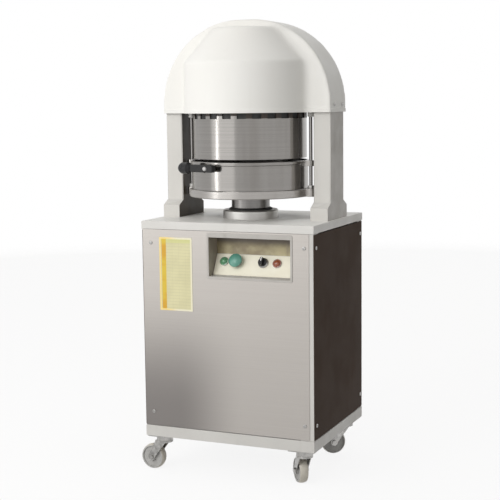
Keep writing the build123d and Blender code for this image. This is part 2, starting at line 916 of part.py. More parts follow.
# Press plates: one in each cell, on a square stem through the head plate
plate_bottom = knife_edge + plate_rise
plate_half_slot = knife_thickness / 2 + plate_gap
stem_rows = [
    (inner_cells, inner_stem_share * inner_ring),
    (middle_cells, (inner_ring + middle_ring) / 2),
    (outer_cells, (middle_ring + knife_radius) / 2),
]
with BuildPart() as press_plates:
    with BuildSketch(pan_centre.offset(plate_bottom)):
        Circle(knife_radius - plate_gap)
        for radius in (inner_ring, middle_ring):
            with BuildSketch(mode=Mode.PRIVATE) as slot_ring:
                Circle(radius + plate_half_slot)
                Circle(radius - plate_half_slot, mode=Mode.SUBTRACT)
            add(slot_ring.sketch, mode=Mode.SUBTRACT)
        for count, start, end in knife_bands:
            with PolarLocations((start + end) / 2, count):
                Rectangle(end - start, 2 * plate_half_slot, mode=Mode.SUBTRACT)
    extrude(amount=plate_thickness)
    with BuildSketch(pan_centre.offset(plate_bottom + plate_thickness)):
        for count, radius in stem_rows:
            with PolarLocations(radius, count, start_angle=180 / count):
                Rectangle(stem_width, stem_width)
    extrude(amount=head_top - plate_bottom - plate_thickness)
write_node(press_plates, "press_plates")

tie_ring = middle_ring
tie_spots = [(-tie_ring, 0), (tie_ring, 0)]
with BuildPart() as head_plate:
    with BuildSketch(pan_centre.offset(head_bottom)):
        Circle(drum_radius)
        for count, radius in stem_rows:
            with PolarLocations(radius, count, start_angle=180 / count):
                Rectangle(stem_width + 2 * slide_fit, stem_width + 2 * slide_fit, mode=Mode.SUBTRACT)
    extrude(amount=head_plate_thickness)
write_node(head_plate, "head_plate")

with BuildPart() as pressure_plate:
    with BuildSketch(pan_centre.offset(head_top)):
        Circle(pressure_plate_radius)
        with Locations(*tie_spots):
            Circle(tie_radius + slide_fit, mode=Mode.SUBTRACT)
    extrude(amount=pressure_plate_thickness)
write_node(pressure_plate, "pressure_plate")

with BuildPart() as tie_columns:
    with BuildSketch(pan_centre.offset(head_top)):
        with Locations(*tie_spots):
            Circle(tie_radius)
    extrude(amount=beam_bottom - head_top)
write_node(tie_columns, "tie_columns")

with BuildPart() as press_springs:
    with BuildSketch(pan_centre.offset(pressure_top)):
        with Locations(*tie_spots):
            Circle(tie_radius + 2 * slide_fit + spring_wall)
            Circle(tie_radius + 2 * slide_fit, mode=Mode.SUBTRACT)
    extrude(amount=beam_bottom - pressure_top)
write_node(press_springs, "press_springs")

# Posts: hollow columns that widen to a foot at the front and the back
post_outer_x = hood_half_width - hood_wall - seat_gap
post_inner_x = post_outer_x - post_width
post_half_depth = post_depth / 2
post_middle_x = (post_outer_x + post_inner_x) / 2
hood_screw_z = head_bottom + hood_screw_rise
foot_half_depth = post_half_depth + post_foot_reach
shoulder_z = table_top_z + post_foot_height
for side, node in ((-1, "left_post"), (1, "right_post")):
    post_side = Plane(origin=(side * post_middle_x, hood_centre_y, 0), x_dir=(0, 1, 0), z_dir=(1, 0, 0))
    with BuildPart() as post:
        with BuildSketch(post_side):
            with BuildLine():
                Polyline(
                    (0, table_top_z),
                    (foot_half_depth, table_top_z),
                    (foot_half_depth, shoulder_z),
                    (post_half_depth, shoulder_z + post_shoulder),
                    (post_half_depth, post_top),
                    (0, post_top),
                )
                mirror(about=Plane.YZ)
            make_face()
        extrude(amount=post_width / 2, both=True)
        upright = post.edges().filter_by(Axis.Z).group_by(SortBy.LENGTH)[-1]
        fillet(upright, post_edge_round)
        with BuildSketch(Plane(origin=(side * post_middle_x, hood_centre_y, table_top_z))):
            Rectangle(post_width - 2 * post_wall, 2 * (post_half_depth - post_wall))
        extrude(amount=post_top - table_top_z, mode=Mode.SUBTRACT)
        screw_side = Plane(
            origin=(side * post_outer_x, hood_centre_y, hood_screw_z), x_dir=(0, side, 0), z_dir=(side, 0, 0)
        )
        with BuildSketch(screw_side):
            with GridLocations(hood_screw_spacing, 0, 2, 1):
                Circle(screw_shank_radius + running_fit)
        extrude(amount=-post_wall, mode=Mode.SUBTRACT)
    write_node(post, node)


hood_front = Plane(origin=(0, hood_centre_y, 0), x_dir=(1, 0, 0), z_dir=(0, -1, 0))
crosshead_front = Plane(origin=(0, crosshead_centre_y, 0), x_dir=(1, 0, 0), z_dir=(0, -1, 0))


# Outline of the arch from the front, drawn in by a margin all round
def arch_outline(margin, bottom):
    top = hood_top - margin
    with Locations((0, (top + bottom) / 2)):
        Rectangle(2 * (hood_half_width - margin), top - bottom)


# Crosshead: a bridge that stands on both posts inside the hood and takes the pressing force
with BuildPart() as crosshead:
    with BuildSketch(crosshead_front) as bridge:
        arch_margin = hood_wall + crosshead_clearance
        arch_outline(arch_margin, head_bottom)
        fillet(bridge.vertices().group_by(Axis.Y)[-1], hood_corner - arch_margin)
        above = (Align.CENTER, Align.MIN)
        below = (Align.CENTER, Align.MAX)
        with Locations((0, beam_top)):
            Rectangle(2 * hood_half_width, hood_height, align=above, mode=Mode.SUBTRACT)
        with Locations((0, post_top)):
            Rectangle(2 * hood_half_width, hood_height, align=below, mode=Mode.SUBTRACT)
        with Locations((0, beam_bottom)):
            Rectangle(2 * post_inner_x, hood_height, align=below, mode=Mode.SUBTRACT)
    extrude(amount=crosshead_depth / 2, both=True)
write_node(crosshead, "crosshead")


# Plan of the round cover where it grows out of the arch, with its inside corners blended.
# Above the crease it narrows towards the top of the cone
crease_z = head_bottom + hood_crease
cone_top = hood_top - hood_cone_drop


def cover_plan(height, margin):
    share = max(0, (height - crease_z) / (cone_top - crease_z))
    radius = hood_drum_radius + share * (hood_cone_radius - hood_drum_radius) - margin
    half_width = hood_blend_half_width + share * (hood_top_half_width - hood_blend_half_width) - margin
    depth = hood_depth - 2 * (margin + hood_blend_sink)
    # A blend ends on the flat side of the plan, short of its corner
    blend = hood_blend + share * (hood_top_blend - hood_blend)
    flat_end = half_width - hood_blend_landing
    flat_y = depth / 2 - abs(hood_centre_y - pan_axis_y)
    widest_blend = (flat_end**2 + flat_y**2 - radius**2) / (2 * (radius - flat_y))
    with BuildSketch(Plane.XY.offset(height)) as plan:
        with Locations((0, pan_axis_y)):
            Circle(radius)
        with Locations((0, hood_centre_y)):
            Rectangle(2 * half_width, depth)
        corners = [
            corner
            for corner in plan.vertices()
            if abs(hypot(corner.X, corner.Y - pan_axis_y) - radius) < running_fit
        ]
        fillet(corners, min(blend, widest_blend))
    return plan.sketch


# Hood: the arch and the round cover over the drum are one shell, open below
def arch_block(margin):
    with BuildPart() as block:
        with BuildSketch(hood_front) as arch:
            arch_outline(margin, head_bottom)
            fillet(arch.vertices().group_by(Axis.Y)[-1], hood_corner - margin)
        extrude(amount=hood_depth / 2 - margin, both=True)
    return block.part


def cover_block(margin):
    drum_top = crease_z - hood_crease_bevel
    heights = (drum_top, crease_z + hood_crease_bevel, cone_top - margin)
    with BuildPart() as block:
        extrude(cover_plan(head_bottom, margin), amount=drum_top - head_bottom)
        loft([cover_plan(height, margin).face() for height in heights], ruled=True)
    return block.part


with BuildPart() as hood:
    add(arch_block(0))
    rim = hood.faces().filter_by(Axis.Y).edges().group_by(Axis.Z)[1:]
    fillet([edge for row in rim for edge in row], hood_edge_round)
    add(cover_block(0))
    add(arch_block(hood_wall), mode=Mode.SUBTRACT)
    add(cover_block(hood_wall), mode=Mode.SUBTRACT)
    for side in (-1, 1):
        screw_spot = (side * hood_half_width, hood_centre_y, hood_screw_z)
        screw_side = Plane(origin=screw_spot, x_dir=(0, side, 0), z_dir=(side, 0, 0))
        with BuildSketch(screw_side):
            with GridLocations(hood_screw_spacing, 0, 2, 1):
                Circle(screw_hole_radius)
        extrude(amount=-hood_wall, mode=Mode.SUBTRACT)
write_node(hood, "hood")

with BuildPart() as hood_screws:
    for side in (-1, 1):
        screw_spot = (side * hood_half_width, hood_centre_y, hood_screw_z)
        screw_side = Plane(origin=screw_spot, x_dir=(0, side, 0), z_dir=(side, 0, 0))
        with BuildSketch(screw_side):
            with GridLocations(hood_screw_spacing, 0, 2, 1):
                Circle(screw_head_radius)
        extrude(amount=screw_head_height, taper=screw_head_taper)
        with BuildSketch(screw_side):
            with GridLocations(hood_screw_spacing, 0, 2, 1):
                Circle(screw_shank_radius)
        extrude(amount=-(hood_wall + seat_gap + post_wall))
write_node(hood_screws, "hood_screws")

# Power unit: an oil tank on the bottom plate, with the motor and the valve block on its lid
tank_x = tank_width / 2 + tank_clearance + corner_thickness - frame_half_x
tank_y = pan_axis_y + tank_offset
tank_centre = Plane(origin=(tank_x, tank_y, floor_top))
with BuildPart() as oil_tank:
    with BuildSketch(tank_centre):
        RectangleRounded(tank_width, tank_depth, tank_corner)
    extrude(amount=tank_height)
    with BuildSketch(tank_centre.offset(tank_wall)):
        inside = 2 * tank_wall
        RectangleRounded(tank_width - inside, tank_depth - inside, tank_corner - tank_wall)
    extrude(amount=tank_height, mode=Mode.SUBTRACT)
write_node(oil_tank, "oil_tank")

motor_y = tank_y + motor_offset
motor_spot = (0, motor_offset)
valve_spot = (0, pan_axis_y - tank_y)
breather_spot = (tank_corner + breather_radius - tank_width / 2, valve_spot[1])
with BuildPart() as tank_lid:
    with BuildSketch(tank_centre.offset(tank_height)):
        RectangleRounded(tank_width, tank_depth, tank_corner)
        with Locations(motor_spot):
            Circle(pump_radius + seat_gap, mode=Mode.SUBTRACT)
        with Locations(valve_spot):
            Circle(pipe_bore_radius, mode=Mode.SUBTRACT)
    extrude(amount=tank_lid_thickness)
    with BuildSketch(tank_centre.offset(tank_height + tank_lid_thickness)):
        with Locations(breather_spot):
            Circle(breather_radius)
    extrude(amount=breather_height)
write_node(tank_lid, "tank_lid")

motor_axis = Axis((tank_x, motor_y, 0), (0, 0, 1))
motor_foot = lid_top + motor_flange
motor_top = lid_top + motor_length
with BuildPart() as pump_motor:
    with BuildSketch(Plane(origin=(tank_x, motor_y, 0), x_dir=(1, 0, 0), z_dir=(0, -1, 0))):
        with BuildLine():
            Polyline(
                (0, tank_top - pump_length),
                (pump_radius, tank_top - pump_length),
                (pump_radius, lid_top),
                (motor_flange_radius, lid_top),
                (motor_flange_radius, motor_foot),
                (motor_radius, motor_foot),
                (motor_radius, motor_top - motor_hood_length),
                (motor_radius + motor_fin_height, motor_top - motor_hood_length),
                (motor_radius + motor_fin_height, motor_top - motor_hood_edge),
                (motor_radius + motor_fin_height - motor_hood_edge, motor_top),
                (0, motor_top),
                close=True,
            )
        make_face()
    revolve(axis=motor_axis)
    with BuildSketch(Plane(origin=(tank_x, motor_y, motor_foot))):
        with PolarLocations(motor_radius, motor_fin_count):
            Rectangle(2 * motor_fin_height, motor_fin_width)
    extrude(amount=motor_top - motor_hood_length - motor_foot)
write_node(pump_motor, "pump_motor")

with BuildPart() as valve_block:
    with BuildSketch(Plane(origin=(tank_x, pan_axis_y, lid_top))):
        Rectangle(valve_width, valve_depth)
    extrude(amount=valve_height)
    with BuildSketch(Plane(origin=(tank_x, pan_axis_y, lid_top + valve_height))):
        Circle(solenoid_radius)
    extrude(amount=solenoid_height)
    with BuildSketch(Plane(origin=(tank_x, pan_axis_y, lid_top))):
        Circle(pipe_bore_radius)
    extrude(amount=port_z - lid_top, mode=Mode.SUBTRACT)
    with BuildSketch(Plane(origin=(tank_x, pan_axis_y, port_z), x_dir=(0, 1, 0), z_dir=(1, 0, 0))):
        Circle(pipe_bore_radius)
    extrude(amount=valve_width / 2, mode=Mode.SUBTRACT)
write_node(valve_block, "valve_block")

pipe_start = tank_x + valve_width / 2
pipe_end = -barrel_radius - port_reach
union_length = union_share * (pipe_end - pipe_start)
with BuildPart() as pressure_pipe:
    with BuildSketch(Plane(origin=(0, pan_axis_y, port_z), x_dir=(1, 0, 0), z_dir=(0, -1, 0))):
        with BuildLine():
            Polyline(
                (pipe_start, pipe_bore_radius),
                (pipe_start, union_radius),
                (pipe_start + union_length, union_radius),
                (pipe_start + union_length, pipe_radius),
                (pipe_end - union_length, pipe_radius),
                (pipe_end - union_length, union_radius),
                (pipe_end, union_radius),
                (pipe_end, pipe_bore_radius),
                close=True,
            )
        make_face()
    revolve(axis=Axis((0, pan_axis_y, port_z), (1, 0, 0)))
write_node(pressure_pipe, "pressure_pipe")

# Electric box: a cover over the switchgear, open towards the bottom plate that it stands on
electric_box_x = frame_half_x - corner_thickness - electric_box_side_clearance - electric_box_width / 2
electric_box_y = frame_half_y - corner_thickness - electric_box_rear_clearance - electric_box_depth / 2
box_foot = Plane(origin=(electric_box_x, electric_box_y, floor_top))
with BuildPart() as electric_box:
    with BuildSketch(box_foot):
        RectangleRounded(electric_box_width, electric_box_depth, electric_box_round)
    extrude(amount=electric_box_height)
    with BuildSketch(box_foot):
        inside = 2 * electric_box_wall
        RectangleRounded(
            electric_box_width - inside, electric_box_depth - inside, electric_box_round - electric_box_wall
        )
    extrude(amount=electric_box_height - electric_box_wall, mode=Mode.SUBTRACT)
write_node(electric_box, "electric_box")

# Casters: a plate with a race and a king pin, a fork that swivels on it and a wheel on a riveted axle
race_top = base_bottom - caster_plate_thickness
crown_top = race_top - caster_race_height
crown_bottom = crown_top - caster_crown_thickness
with BuildPart() as caster_plates:
    with BuildSketch(Plane.XY.offset(base_bottom)):
        with Locations(*caster_spots):
            Rectangle(caster_plate_width, caster_plate_depth)
    extrude(amount=-caster_plate_thickness)
    with BuildSketch(Plane.XY.offset(race_top)):
        with Locations(*caster_spots):
            Circle(caster_race_radius)
    extrude(amount=-caster_race_height)
    with BuildSketch(Plane.XY.offset(crown_top)):
        with Locations(*caster_spots):
            Circle(caster_pin_radius)
    extrude(amount=-caster_crown_thickness)
    with BuildSketch(Plane.XY.offset(crown_bottom)):
        with Locations(*caster_spots):
            Circle(caster_pin_head_radius)
    extrude(amount=-caster_pin_head_height)
write_node(caster_plates, "caster_plates")

arm_inner = wheel_width / 2 + fork_gap
arm_outer = arm_inner + fork_thickness
hub_half = arm_inner - seat_gap
web_half = wheel_width / 2 - wheel_web_inset
rim_inner = wheel_radius - wheel_rim_depth
tread_edge = wheel_radius - wheel_crown
casters = [
    ("front_left", -caster_x, -caster_y, front_left_heading),
    ("back_left", -caster_x, caster_y, back_left_heading),
    ("front_right", caster_x, -caster_y, front_right_heading),
    ("back_right", caster_x, caster_y, back_right_heading),
]
for corner, x, y, heading in casters:
    trail = Vector(cos(radians(heading)), sin(radians(heading)), 0)
    across = Vector(-sin(radians(heading)), cos(radians(heading)), 0)
    swivel = Plane(origin=(x, y, 0), x_dir=trail, z_dir=(0, 0, 1))
    fork_side = Plane(origin=(x, y, 0), x_dir=trail, z_dir=-across)
    axle_centre = Vector(x, y, wheel_radius) + trail * caster_trail
    axle = Axis(axle_centre, across)
    with BuildPart() as fork:
        with BuildSketch(swivel.offset(crown_bottom)):
            Circle(caster_crown_radius)
            with Locations(((fork_front - fork_back) / 2, 0)):
                Rectangle(fork_front + fork_back, 2 * arm_outer)
        extrude(amount=caster_crown_thickness)
        for arm_start in (arm_inner, -arm_outer):
            with BuildSketch(fork_side.offset(arm_start)):
                with BuildLine():
                    Polyline(
                        (-fork_back, crown_top),
                        (fork_front, crown_top),
                        (caster_trail + fork_boss_radius, wheel_radius),
                        (caster_trail - fork_boss_radius, wheel_radius),
                        close=True,
                    )
                make_face()
                with Locations((caster_trail, wheel_radius)):
                    Circle(fork_boss_radius)
            extrude(amount=fork_thickness)
        with BuildSketch(fork_side):
            with Locations((caster_trail, wheel_radius)):
                Circle(axle_radius)
        extrude(amount=arm_outer, both=True)
        for head_start in (arm_outer, -arm_outer - axle_head_height):
            with BuildSketch(fork_side.offset(head_start)):
                with Locations((caster_trail, wheel_radius)):
                    Circle(axle_head_radius)
            extrude(amount=axle_head_height)
        with BuildSketch(swivel.offset(crown_bottom)):
            Circle(caster_pin_radius + running_fit)
        extrude(amount=caster_crown_thickness, mode=Mode.SUBTRACT)
    write_node(fork, f"{corner}_fork")
    with BuildPart() as wheel:
        with BuildSketch(Plane(origin=axle_centre, x_dir=across, z_dir=trail)):
            with BuildLine():
                tread = ThreePointArc(
                    (-wheel_width / 2, tread_edge), (0, wheel_radius), (wheel_width / 2, tread_edge)
                )
                Polyline(
                    tread @ 1,
                    (wheel_width / 2, rim_inner),
                    (web_half, rim_inner),
                    (web_half, wheel_hub_radius),
                    (hub_half, wheel_hub_radius),
                    (hub_half, axle_radius + running_fit),
                    (-hub_half, axle_radius + running_fit),
                    (-hub_half, wheel_hub_radius),
                    (-web_half, wheel_hub_radius),
                    (-web_half, rim_inner),
                    (-wheel_width / 2, rim_inner),
                    tread @ 0,
                )
            make_face()
        revolve(axis=axle)
    write_node(wheel, f"{corner}_wheel")
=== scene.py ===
import json
import math

import bmesh
import bpy
from mathutils import Euler, Matrix, Quaternion, Vector


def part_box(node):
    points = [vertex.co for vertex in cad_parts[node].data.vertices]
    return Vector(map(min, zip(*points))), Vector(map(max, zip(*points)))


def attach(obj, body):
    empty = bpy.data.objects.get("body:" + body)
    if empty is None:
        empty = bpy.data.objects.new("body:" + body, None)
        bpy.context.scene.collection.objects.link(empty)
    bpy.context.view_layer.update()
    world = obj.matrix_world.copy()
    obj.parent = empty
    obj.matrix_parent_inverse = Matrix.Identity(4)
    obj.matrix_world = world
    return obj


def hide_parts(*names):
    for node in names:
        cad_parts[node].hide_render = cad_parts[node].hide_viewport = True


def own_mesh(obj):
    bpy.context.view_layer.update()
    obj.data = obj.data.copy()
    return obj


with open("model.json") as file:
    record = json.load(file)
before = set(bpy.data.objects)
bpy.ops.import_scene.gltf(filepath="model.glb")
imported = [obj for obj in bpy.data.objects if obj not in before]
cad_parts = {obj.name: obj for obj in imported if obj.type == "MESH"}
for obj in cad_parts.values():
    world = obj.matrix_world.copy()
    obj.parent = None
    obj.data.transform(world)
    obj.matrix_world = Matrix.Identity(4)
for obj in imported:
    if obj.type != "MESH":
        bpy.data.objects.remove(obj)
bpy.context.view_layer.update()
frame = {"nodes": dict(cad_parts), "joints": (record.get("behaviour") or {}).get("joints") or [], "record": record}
solids = frame["nodes"]
bodyOfNode = {node: body for body, names in frame["record"]["behaviour"]["bodies"].items() for node in names}

mergeDistance = 0.00001  # points closer than this are one point
flatAngle = 0.4  # faces that turn less than this many degrees are one face
roundFrom = 38  # edges that turn more than this many degrees are rounded
facing = 0.9  # share of a normal along an axis from which a face looks that way


def jointNamed(name):
    return next(joint for joint in frame["joints"] if joint["name"] == name)


# Working on one piece at a time
def clearSelection():
    if bpy.context.mode != "OBJECT":
        bpy.ops.object.mode_set(mode="OBJECT")
    bpy.ops.object.select_all(action="DESELECT")


def takeUp(piece):
    clearSelection()
    piece.select_set(True)
    bpy.context.view_layer.objects.active = piece


def editAll(piece):
    takeUp(piece)
    bpy.ops.object.mode_set(mode="EDIT")
    bpy.ops.mesh.select_all(action="SELECT")


def startPicking(piece, kind):
    takeUp(piece)
    bpy.ops.object.mode_set(mode="EDIT")
    bpy.ops.mesh.select_mode(type=kind)
    bpy.ops.mesh.select_all(action="DESELECT")
    bpy.ops.object.mode_set(mode="OBJECT")


def pickFaces(piece, wanted):
    # Selects the faces that pass a test on their centre and normal, and stays in edit mode
    startPicking(piece, "FACE")
    for face in piece.data.polygons:
        face.select = wanted(face.center, face.normal)
    bpy.ops.object.mode_set(mode="EDIT")


def pickEdges(piece, wanted):
    # Selects the edges whose two ends pass a test, and stays in edit mode
    startPicking(piece, "EDGE")
    points = piece.data.vertices
    for edge in piece.data.edges:
        first, second = edge.vertices
        edge.select = wanted(points[first].co, points[second].co)
    bpy.ops.object.mode_set(mode="EDIT")


def applyModifier(piece, kind, **settings):
    takeUp(piece)
    modifier = piece.modifiers.new(kind.lower(), kind)
    for setting, value in settings.items():
        setattr(modifier, setting, value)
    bpy.ops.object.modifier_apply(modifier=modifier.name)


def settle(piece):
    # Moves the place of the object into its mesh
    takeUp(piece)
    bpy.ops.object.transform_apply(location=True, rotation=True, scale=True)


def joinPieces(pieces, name):
    takeUp(pieces[0])
    for piece in pieces:
        piece.select_set(True)
    bpy.ops.object.join()
    joined = bpy.context.object
    joined.name = name
    return joined


def copySolid(node, name):
    # A working copy of a solid, with its loose triangles merged into faces
    mesh = solids[node].data.copy()
    mesh.materials.clear()
    piece = bpy.data.objects.new(name, mesh)
    bpy.context.scene.collection.objects.link(piece)
    editAll(piece)
    bpy.ops.mesh.remove_doubles(threshold=mergeDistance)
    bpy.ops.mesh.dissolve_limited(angle_limit=math.radians(flatAngle))
    clearSelection()
    return piece


def roundEdges(piece, width, segments=2):
    applyModifier(
        piece, "BEVEL", width=width, segments=segments, limit_method="ANGLE",
        angle_limit=math.radians(roundFrom), use_clamp_overlap=True, miter_outer="MITER_ARC",
    )


def smoothShade(piece, angle=40):
    takeUp(piece)
    bpy.ops.object.shade_smooth_by_angle(angle=math.radians(angle))
    applyModifier(piece, "WEIGHTED_NORMAL", keep_sharp=True, weight=60)


def fitOut(piece, node, finish):
    # Puts the piece on its body in place of its solid, with its finish
    piece.data.materials.clear()
    piece.data.materials.append(finish)
    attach(piece, bodyOfNode[node])
    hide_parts(node)
    return piece


def addOn(piece, body, finish):
    # A small piece that stands for no solid of its own
    piece.data.materials.clear()
    piece.data.materials.append(finish)
    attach(piece, body)
    return piece


def paintFaces(piece, finish, wanted):
    # Gives a second finish to the faces that pass a test
    piece.data.materials.append(finish)
    index = len(piece.data.materials) - 1
    for face in piece.data.polygons:
        if wanted(face.center, face.normal):
            face.material_index = index


def camelName(node):
    first, *rest = node.split("_")
    return first + "".join(word.title() for word in rest)


def dressCopy(look):
    # The solid itself with rounded edges and smooth shading, named after its node if it has no name
    piece = copySolid(look["node"], look.get("piece", camelName(look["node"])))
    if look.get("round"):
        roundEdges(piece, look["round"], look.get("segments", 2))
    smoothShade(piece, look.get("angle", 40))
    return fitOut(piece, look["node"], look["finish"])


def islandBoxes(node):
    # Lowest and highest corner of each loose part of a solid
    mesh = bmesh.new()
    mesh.from_mesh(solids[node].data)
    bmesh.ops.remove_doubles(mesh, verts=mesh.verts, dist=mergeDistance)
    boxes = []
    waiting = set(mesh.verts)
    while waiting:
        front = [waiting.pop()]
        island = []
        while front:
            point = front.pop()
            island.append(point.co.copy())
            for edge in point.link_edges:
                other = edge.other_vert(point)
                if other in waiting:
                    waiting.remove(other)
                    front.append(other)
        boxes.append((Vector(map(min, *island)), Vector(map(max, *island))))
    mesh.free()
    return sorted(boxes, key=lambda box: tuple(round(value, 4) for value in box[0]))


# Finishes
softSpan = (0.3, 0.7)  # values of a noise that most finishes fade between


def newFinish(name):
    finish = bpy.data.materials.new(name)
    finish.use_nodes = True
    return finish, finish.node_tree, finish.node_tree.nodes["Principled BSDF"]


def objectPoints(tree, stretch=(1, 1, 1)):
    place = tree.nodes.new("ShaderNodeTexCoord")
    mapping = tree.nodes.new("ShaderNodeMapping")
    mapping.inputs["Scale"].default_value = stretch
    tree.links.new(place.outputs["Object"], mapping.inputs["Vector"])
    return mapping.outputs["Vector"]


def cloud(tree, points, scale, detail=3.0, roughness=0.55):
    noise = tree.nodes.new("ShaderNodeTexNoise")
    noise.inputs["Scale"].default_value = scale
    noise.inputs["Detail"].default_value = detail
    noise.inputs["Roughness"].default_value = roughness
    tree.links.new(points, noise.inputs["Vector"])
    return noise.outputs["Fac"]


def spread(tree, value, low, high, toLow=0.0, toHigh=1.0):
    ranged = tree.nodes.new("ShaderNodeMapRange")
    ranged.interpolation_type = "SMOOTHSTEP"
    ranged.inputs["From Min"].default_value = low
    ranged.inputs["From Max"].default_value = high
    ranged.inputs["To Min"].default_value = toLow
    ranged.inputs["To Max"].default_value = toHigh
    tree.links.new(value, ranged.inputs["Value"])
    return ranged.outputs["Result"]


def figure(tree, operation, first, second):
    node = tree.nodes.new("ShaderNodeMath")
    node.operation = operation
    for socket, value in zip(node.inputs, (first, second)):
        if isinstance(value, (int, float)):
            socket.default_value = value
        else:
            tree.links.new(value, socket)
    return node.outputs["Value"]


def apart(tree, first, second):
    return figure(tree, "ABSOLUTE", figure(tree, "SUBTRACT", first, second), 0.0)


def mixColours(tree, share, first, second):
    mix = tree.nodes.new("ShaderNodeMix")
    mix.data_type = "RGBA"
    tree.links.new(share, mix.inputs[0])
    for socket, value in ((mix.inputs[6], first), (mix.inputs[7], second)):
        if isinstance(value, tuple):
            socket.default_value = (*value, 1.0)
        else:
            tree.links.new(value, socket)
    return mix.outputs[2]


def backdropRays(tree):
    # Rays that meet the white backdrop: straight from the camera, mirrored by metal or bent by a lens
    rays = tree.nodes.new("ShaderNodeLightPath")
    mirrored = figure(tree, "MAXIMUM", rays.outputs["Is Glossy Ray"], rays.outputs["Is Transmission Ray"])
    return figure(tree, "MAXIMUM", rays.outputs["Is Camera Ray"], mirrored)


def relief(tree, height, depth, under=None):
    bump = tree.nodes.new("ShaderNodeBump")
    bump.inputs["Strength"].default_value = 1.0
    bump.inputs["Distance"].default_value = depth
    tree.links.new(height, bump.inputs["Height"])
    if under is not None:
        tree.links.new(under, bump.inputs["Normal"])
    return bump.outputs["Normal"]


def paintShadeGradient(tree, colour, dulled):
    # Darkens a finish towards one side and one end: painted shade
    split = tree.nodes.new("ShaderNodeSeparateXYZ")
    tree.links.new(objectPoints(tree), split.inputs[0])
    share = spread(tree, split.outputs["Z"], *dulled["upward"], 1.0, 0.0)
    if "across" in dulled:
        share = figure(tree, "MULTIPLY", share, spread(tree, split.outputs["X"], *dulled["across"], 1.0, 0.0))
    return mixColours(tree, share, colour, dulled["tone"])


paintWear = {
    "runs": (7, 7, 0.9), "runScale": 5.0, "runSpan": (0.55, 0.85), "speckScale": 190.0, "speckSpan": (0.68, 0.76),
    "waveScale": 9.0, "coatRough": 0.2,
}


def paintFinish(name, look):
    # Paint, enamel or moulded plastic: patches of tone, faint runs, dust specks and a fine skin
    finish, tree, shader = newFinish(name)
    points = objectPoints(tree)
    patches = spread(tree, cloud(tree, points, look["patch"], 4.0), *softSpan)
    colour = mixColours(tree, patches, look["pale"], look["shade"])
    runs = cloud(tree, objectPoints(tree, look.get("runs", paintWear["runs"])), paintWear["runScale"], 4.0)
    specks = cloud(tree, points, paintWear["speckScale"], 2.0)
    for dirt, span, most in ((runs, "runSpan", look["soiling"]), (specks, "speckSpan", look["specks"])):
        colour = mixColours(tree, spread(tree, dirt, *paintWear[span], 0.0, most), colour, look["soil"])
    # Painted shade towards one corner, for the finishes that ask for it
    if "dulled" in look:
        colour = paintShadeGradient(tree, colour, look["dulled"])
    tree.links.new(colour, shader.inputs["Base Color"])
    gloss = spread(tree, cloud(tree, points, look["patch"] * 4), *softSpan, *look["rough"])
    tree.links.new(gloss, shader.inputs["Roughness"])
    skin = relief(tree, cloud(tree, points, look["grain"], 2.0), look["grainDepth"])
    if "waveDepth" in look:
        skin = relief(tree, cloud(tree, points, paintWear["waveScale"], 1.0), look["waveDepth"], skin)
    tree.links.new(skin, shader.inputs["Normal"])
    shader.inputs["Coat Weight"].default_value = look.get("coat", 0.0)
    shader.inputs["Coat Roughness"].default_value = paintWear["coatRough"]
    shader.inputs["Specular IOR Level"].default_value = look.get("specular", 0.5)
    return finish


steelWear = {
    "breakUp": 0.6, "markSpan": (0.45, 0.8), "lineShare": 0.45, "markShare": 0.55, "glossSpan": (0.32, 0.68),
}


def steelFinish(name, look):
    # Bare metal: tool lines one way, handling marks the other way, both in tone and in gloss
    finish, tree, shader = newFinish(name)
    lines = cloud(tree, objectPoints(tree, look["lines"]), 1.0, 3.0, steelWear["breakUp"])
    marks = cloud(tree, objectPoints(tree, look["marks"]), 1.0, 4.0, steelWear["breakUp"])
    colour = mixColours(tree, spread(tree, lines, *softSpan), look["pale"], look["shade"])
    soiled = spread(tree, marks, *steelWear["markSpan"], 0.0, look["soiling"])
    colour = mixColours(tree, soiled, colour, look["soil"])
    # Painted shade towards one corner, for the finishes that ask for it
    if "dulled" in look:
        colour = paintShadeGradient(tree, colour, look["dulled"])
    tree.links.new(colour, shader.inputs["Base Color"])
    lineWear = figure(tree, "MULTIPLY", lines, steelWear["lineShare"])
    markWear = figure(tree, "MULTIPLY", marks, steelWear["markShare"])
    gloss = spread(tree, figure(tree, "ADD", lineWear, markWear), *steelWear["glossSpan"], *look["rough"])
    tree.links.new(gloss, shader.inputs["Roughness"])
    tree.links.new(relief(tree, lines, look["lineDepth"]), shader.inputs["Normal"])
    shader.inputs["Metallic"].default_value = 1.0
    return finish


whiteEnamel = paintFinish("whiteEnamel", {
    "pale": (0.87, 0.862, 0.83), "shade": (0.84, 0.828, 0.79), "soil": (0.50, 0.47, 0.41), "soiling": 0.06,
    "specks": 0.06, "patch": 2.6, "rough": (0.34, 0.48), "grain": 420.0, "grainDepth": 0.00005,
    "waveDepth": 0.0004, "specular": 0.15,
})
postEnamel = paintFinish("postEnamel", {
    "pale": (0.70, 0.685, 0.65), "shade": (0.66, 0.645, 0.61), "soil": (0.36, 0.33, 0.28), "soiling": 0.12,
    "specks": 0.10, "patch": 3.5, "rough": (0.34, 0.48), "grain": 420.0, "grainDepth": 0.00005, "specular": 0.15,
})
greyEnamel = paintFinish("greyEnamel", {
    "pale": (0.73, 0.717, 0.69), "shade": (0.68, 0.667, 0.64), "soil": (0.38, 0.35, 0.30), "soiling": 0.14,
    "specks": 0.16, "patch": 4.0, "rough": (0.34, 0.52), "grain": 380.0, "grainDepth": 0.00006, "specular": 0.2,
})
frameEnamel = paintFinish("frameEnamel", {
    "pale": (0.65, 0.637, 0.61), "shade": (0.60, 0.587, 0.56), "soil": (0.34, 0.31, 0.26), "soiling": 0.18,
    "specks": 0.18, "patch": 5.0, "rough": (0.34, 0.52), "grain": 380.0, "grainDepth": 0.00006, "specular": 0.2,
})
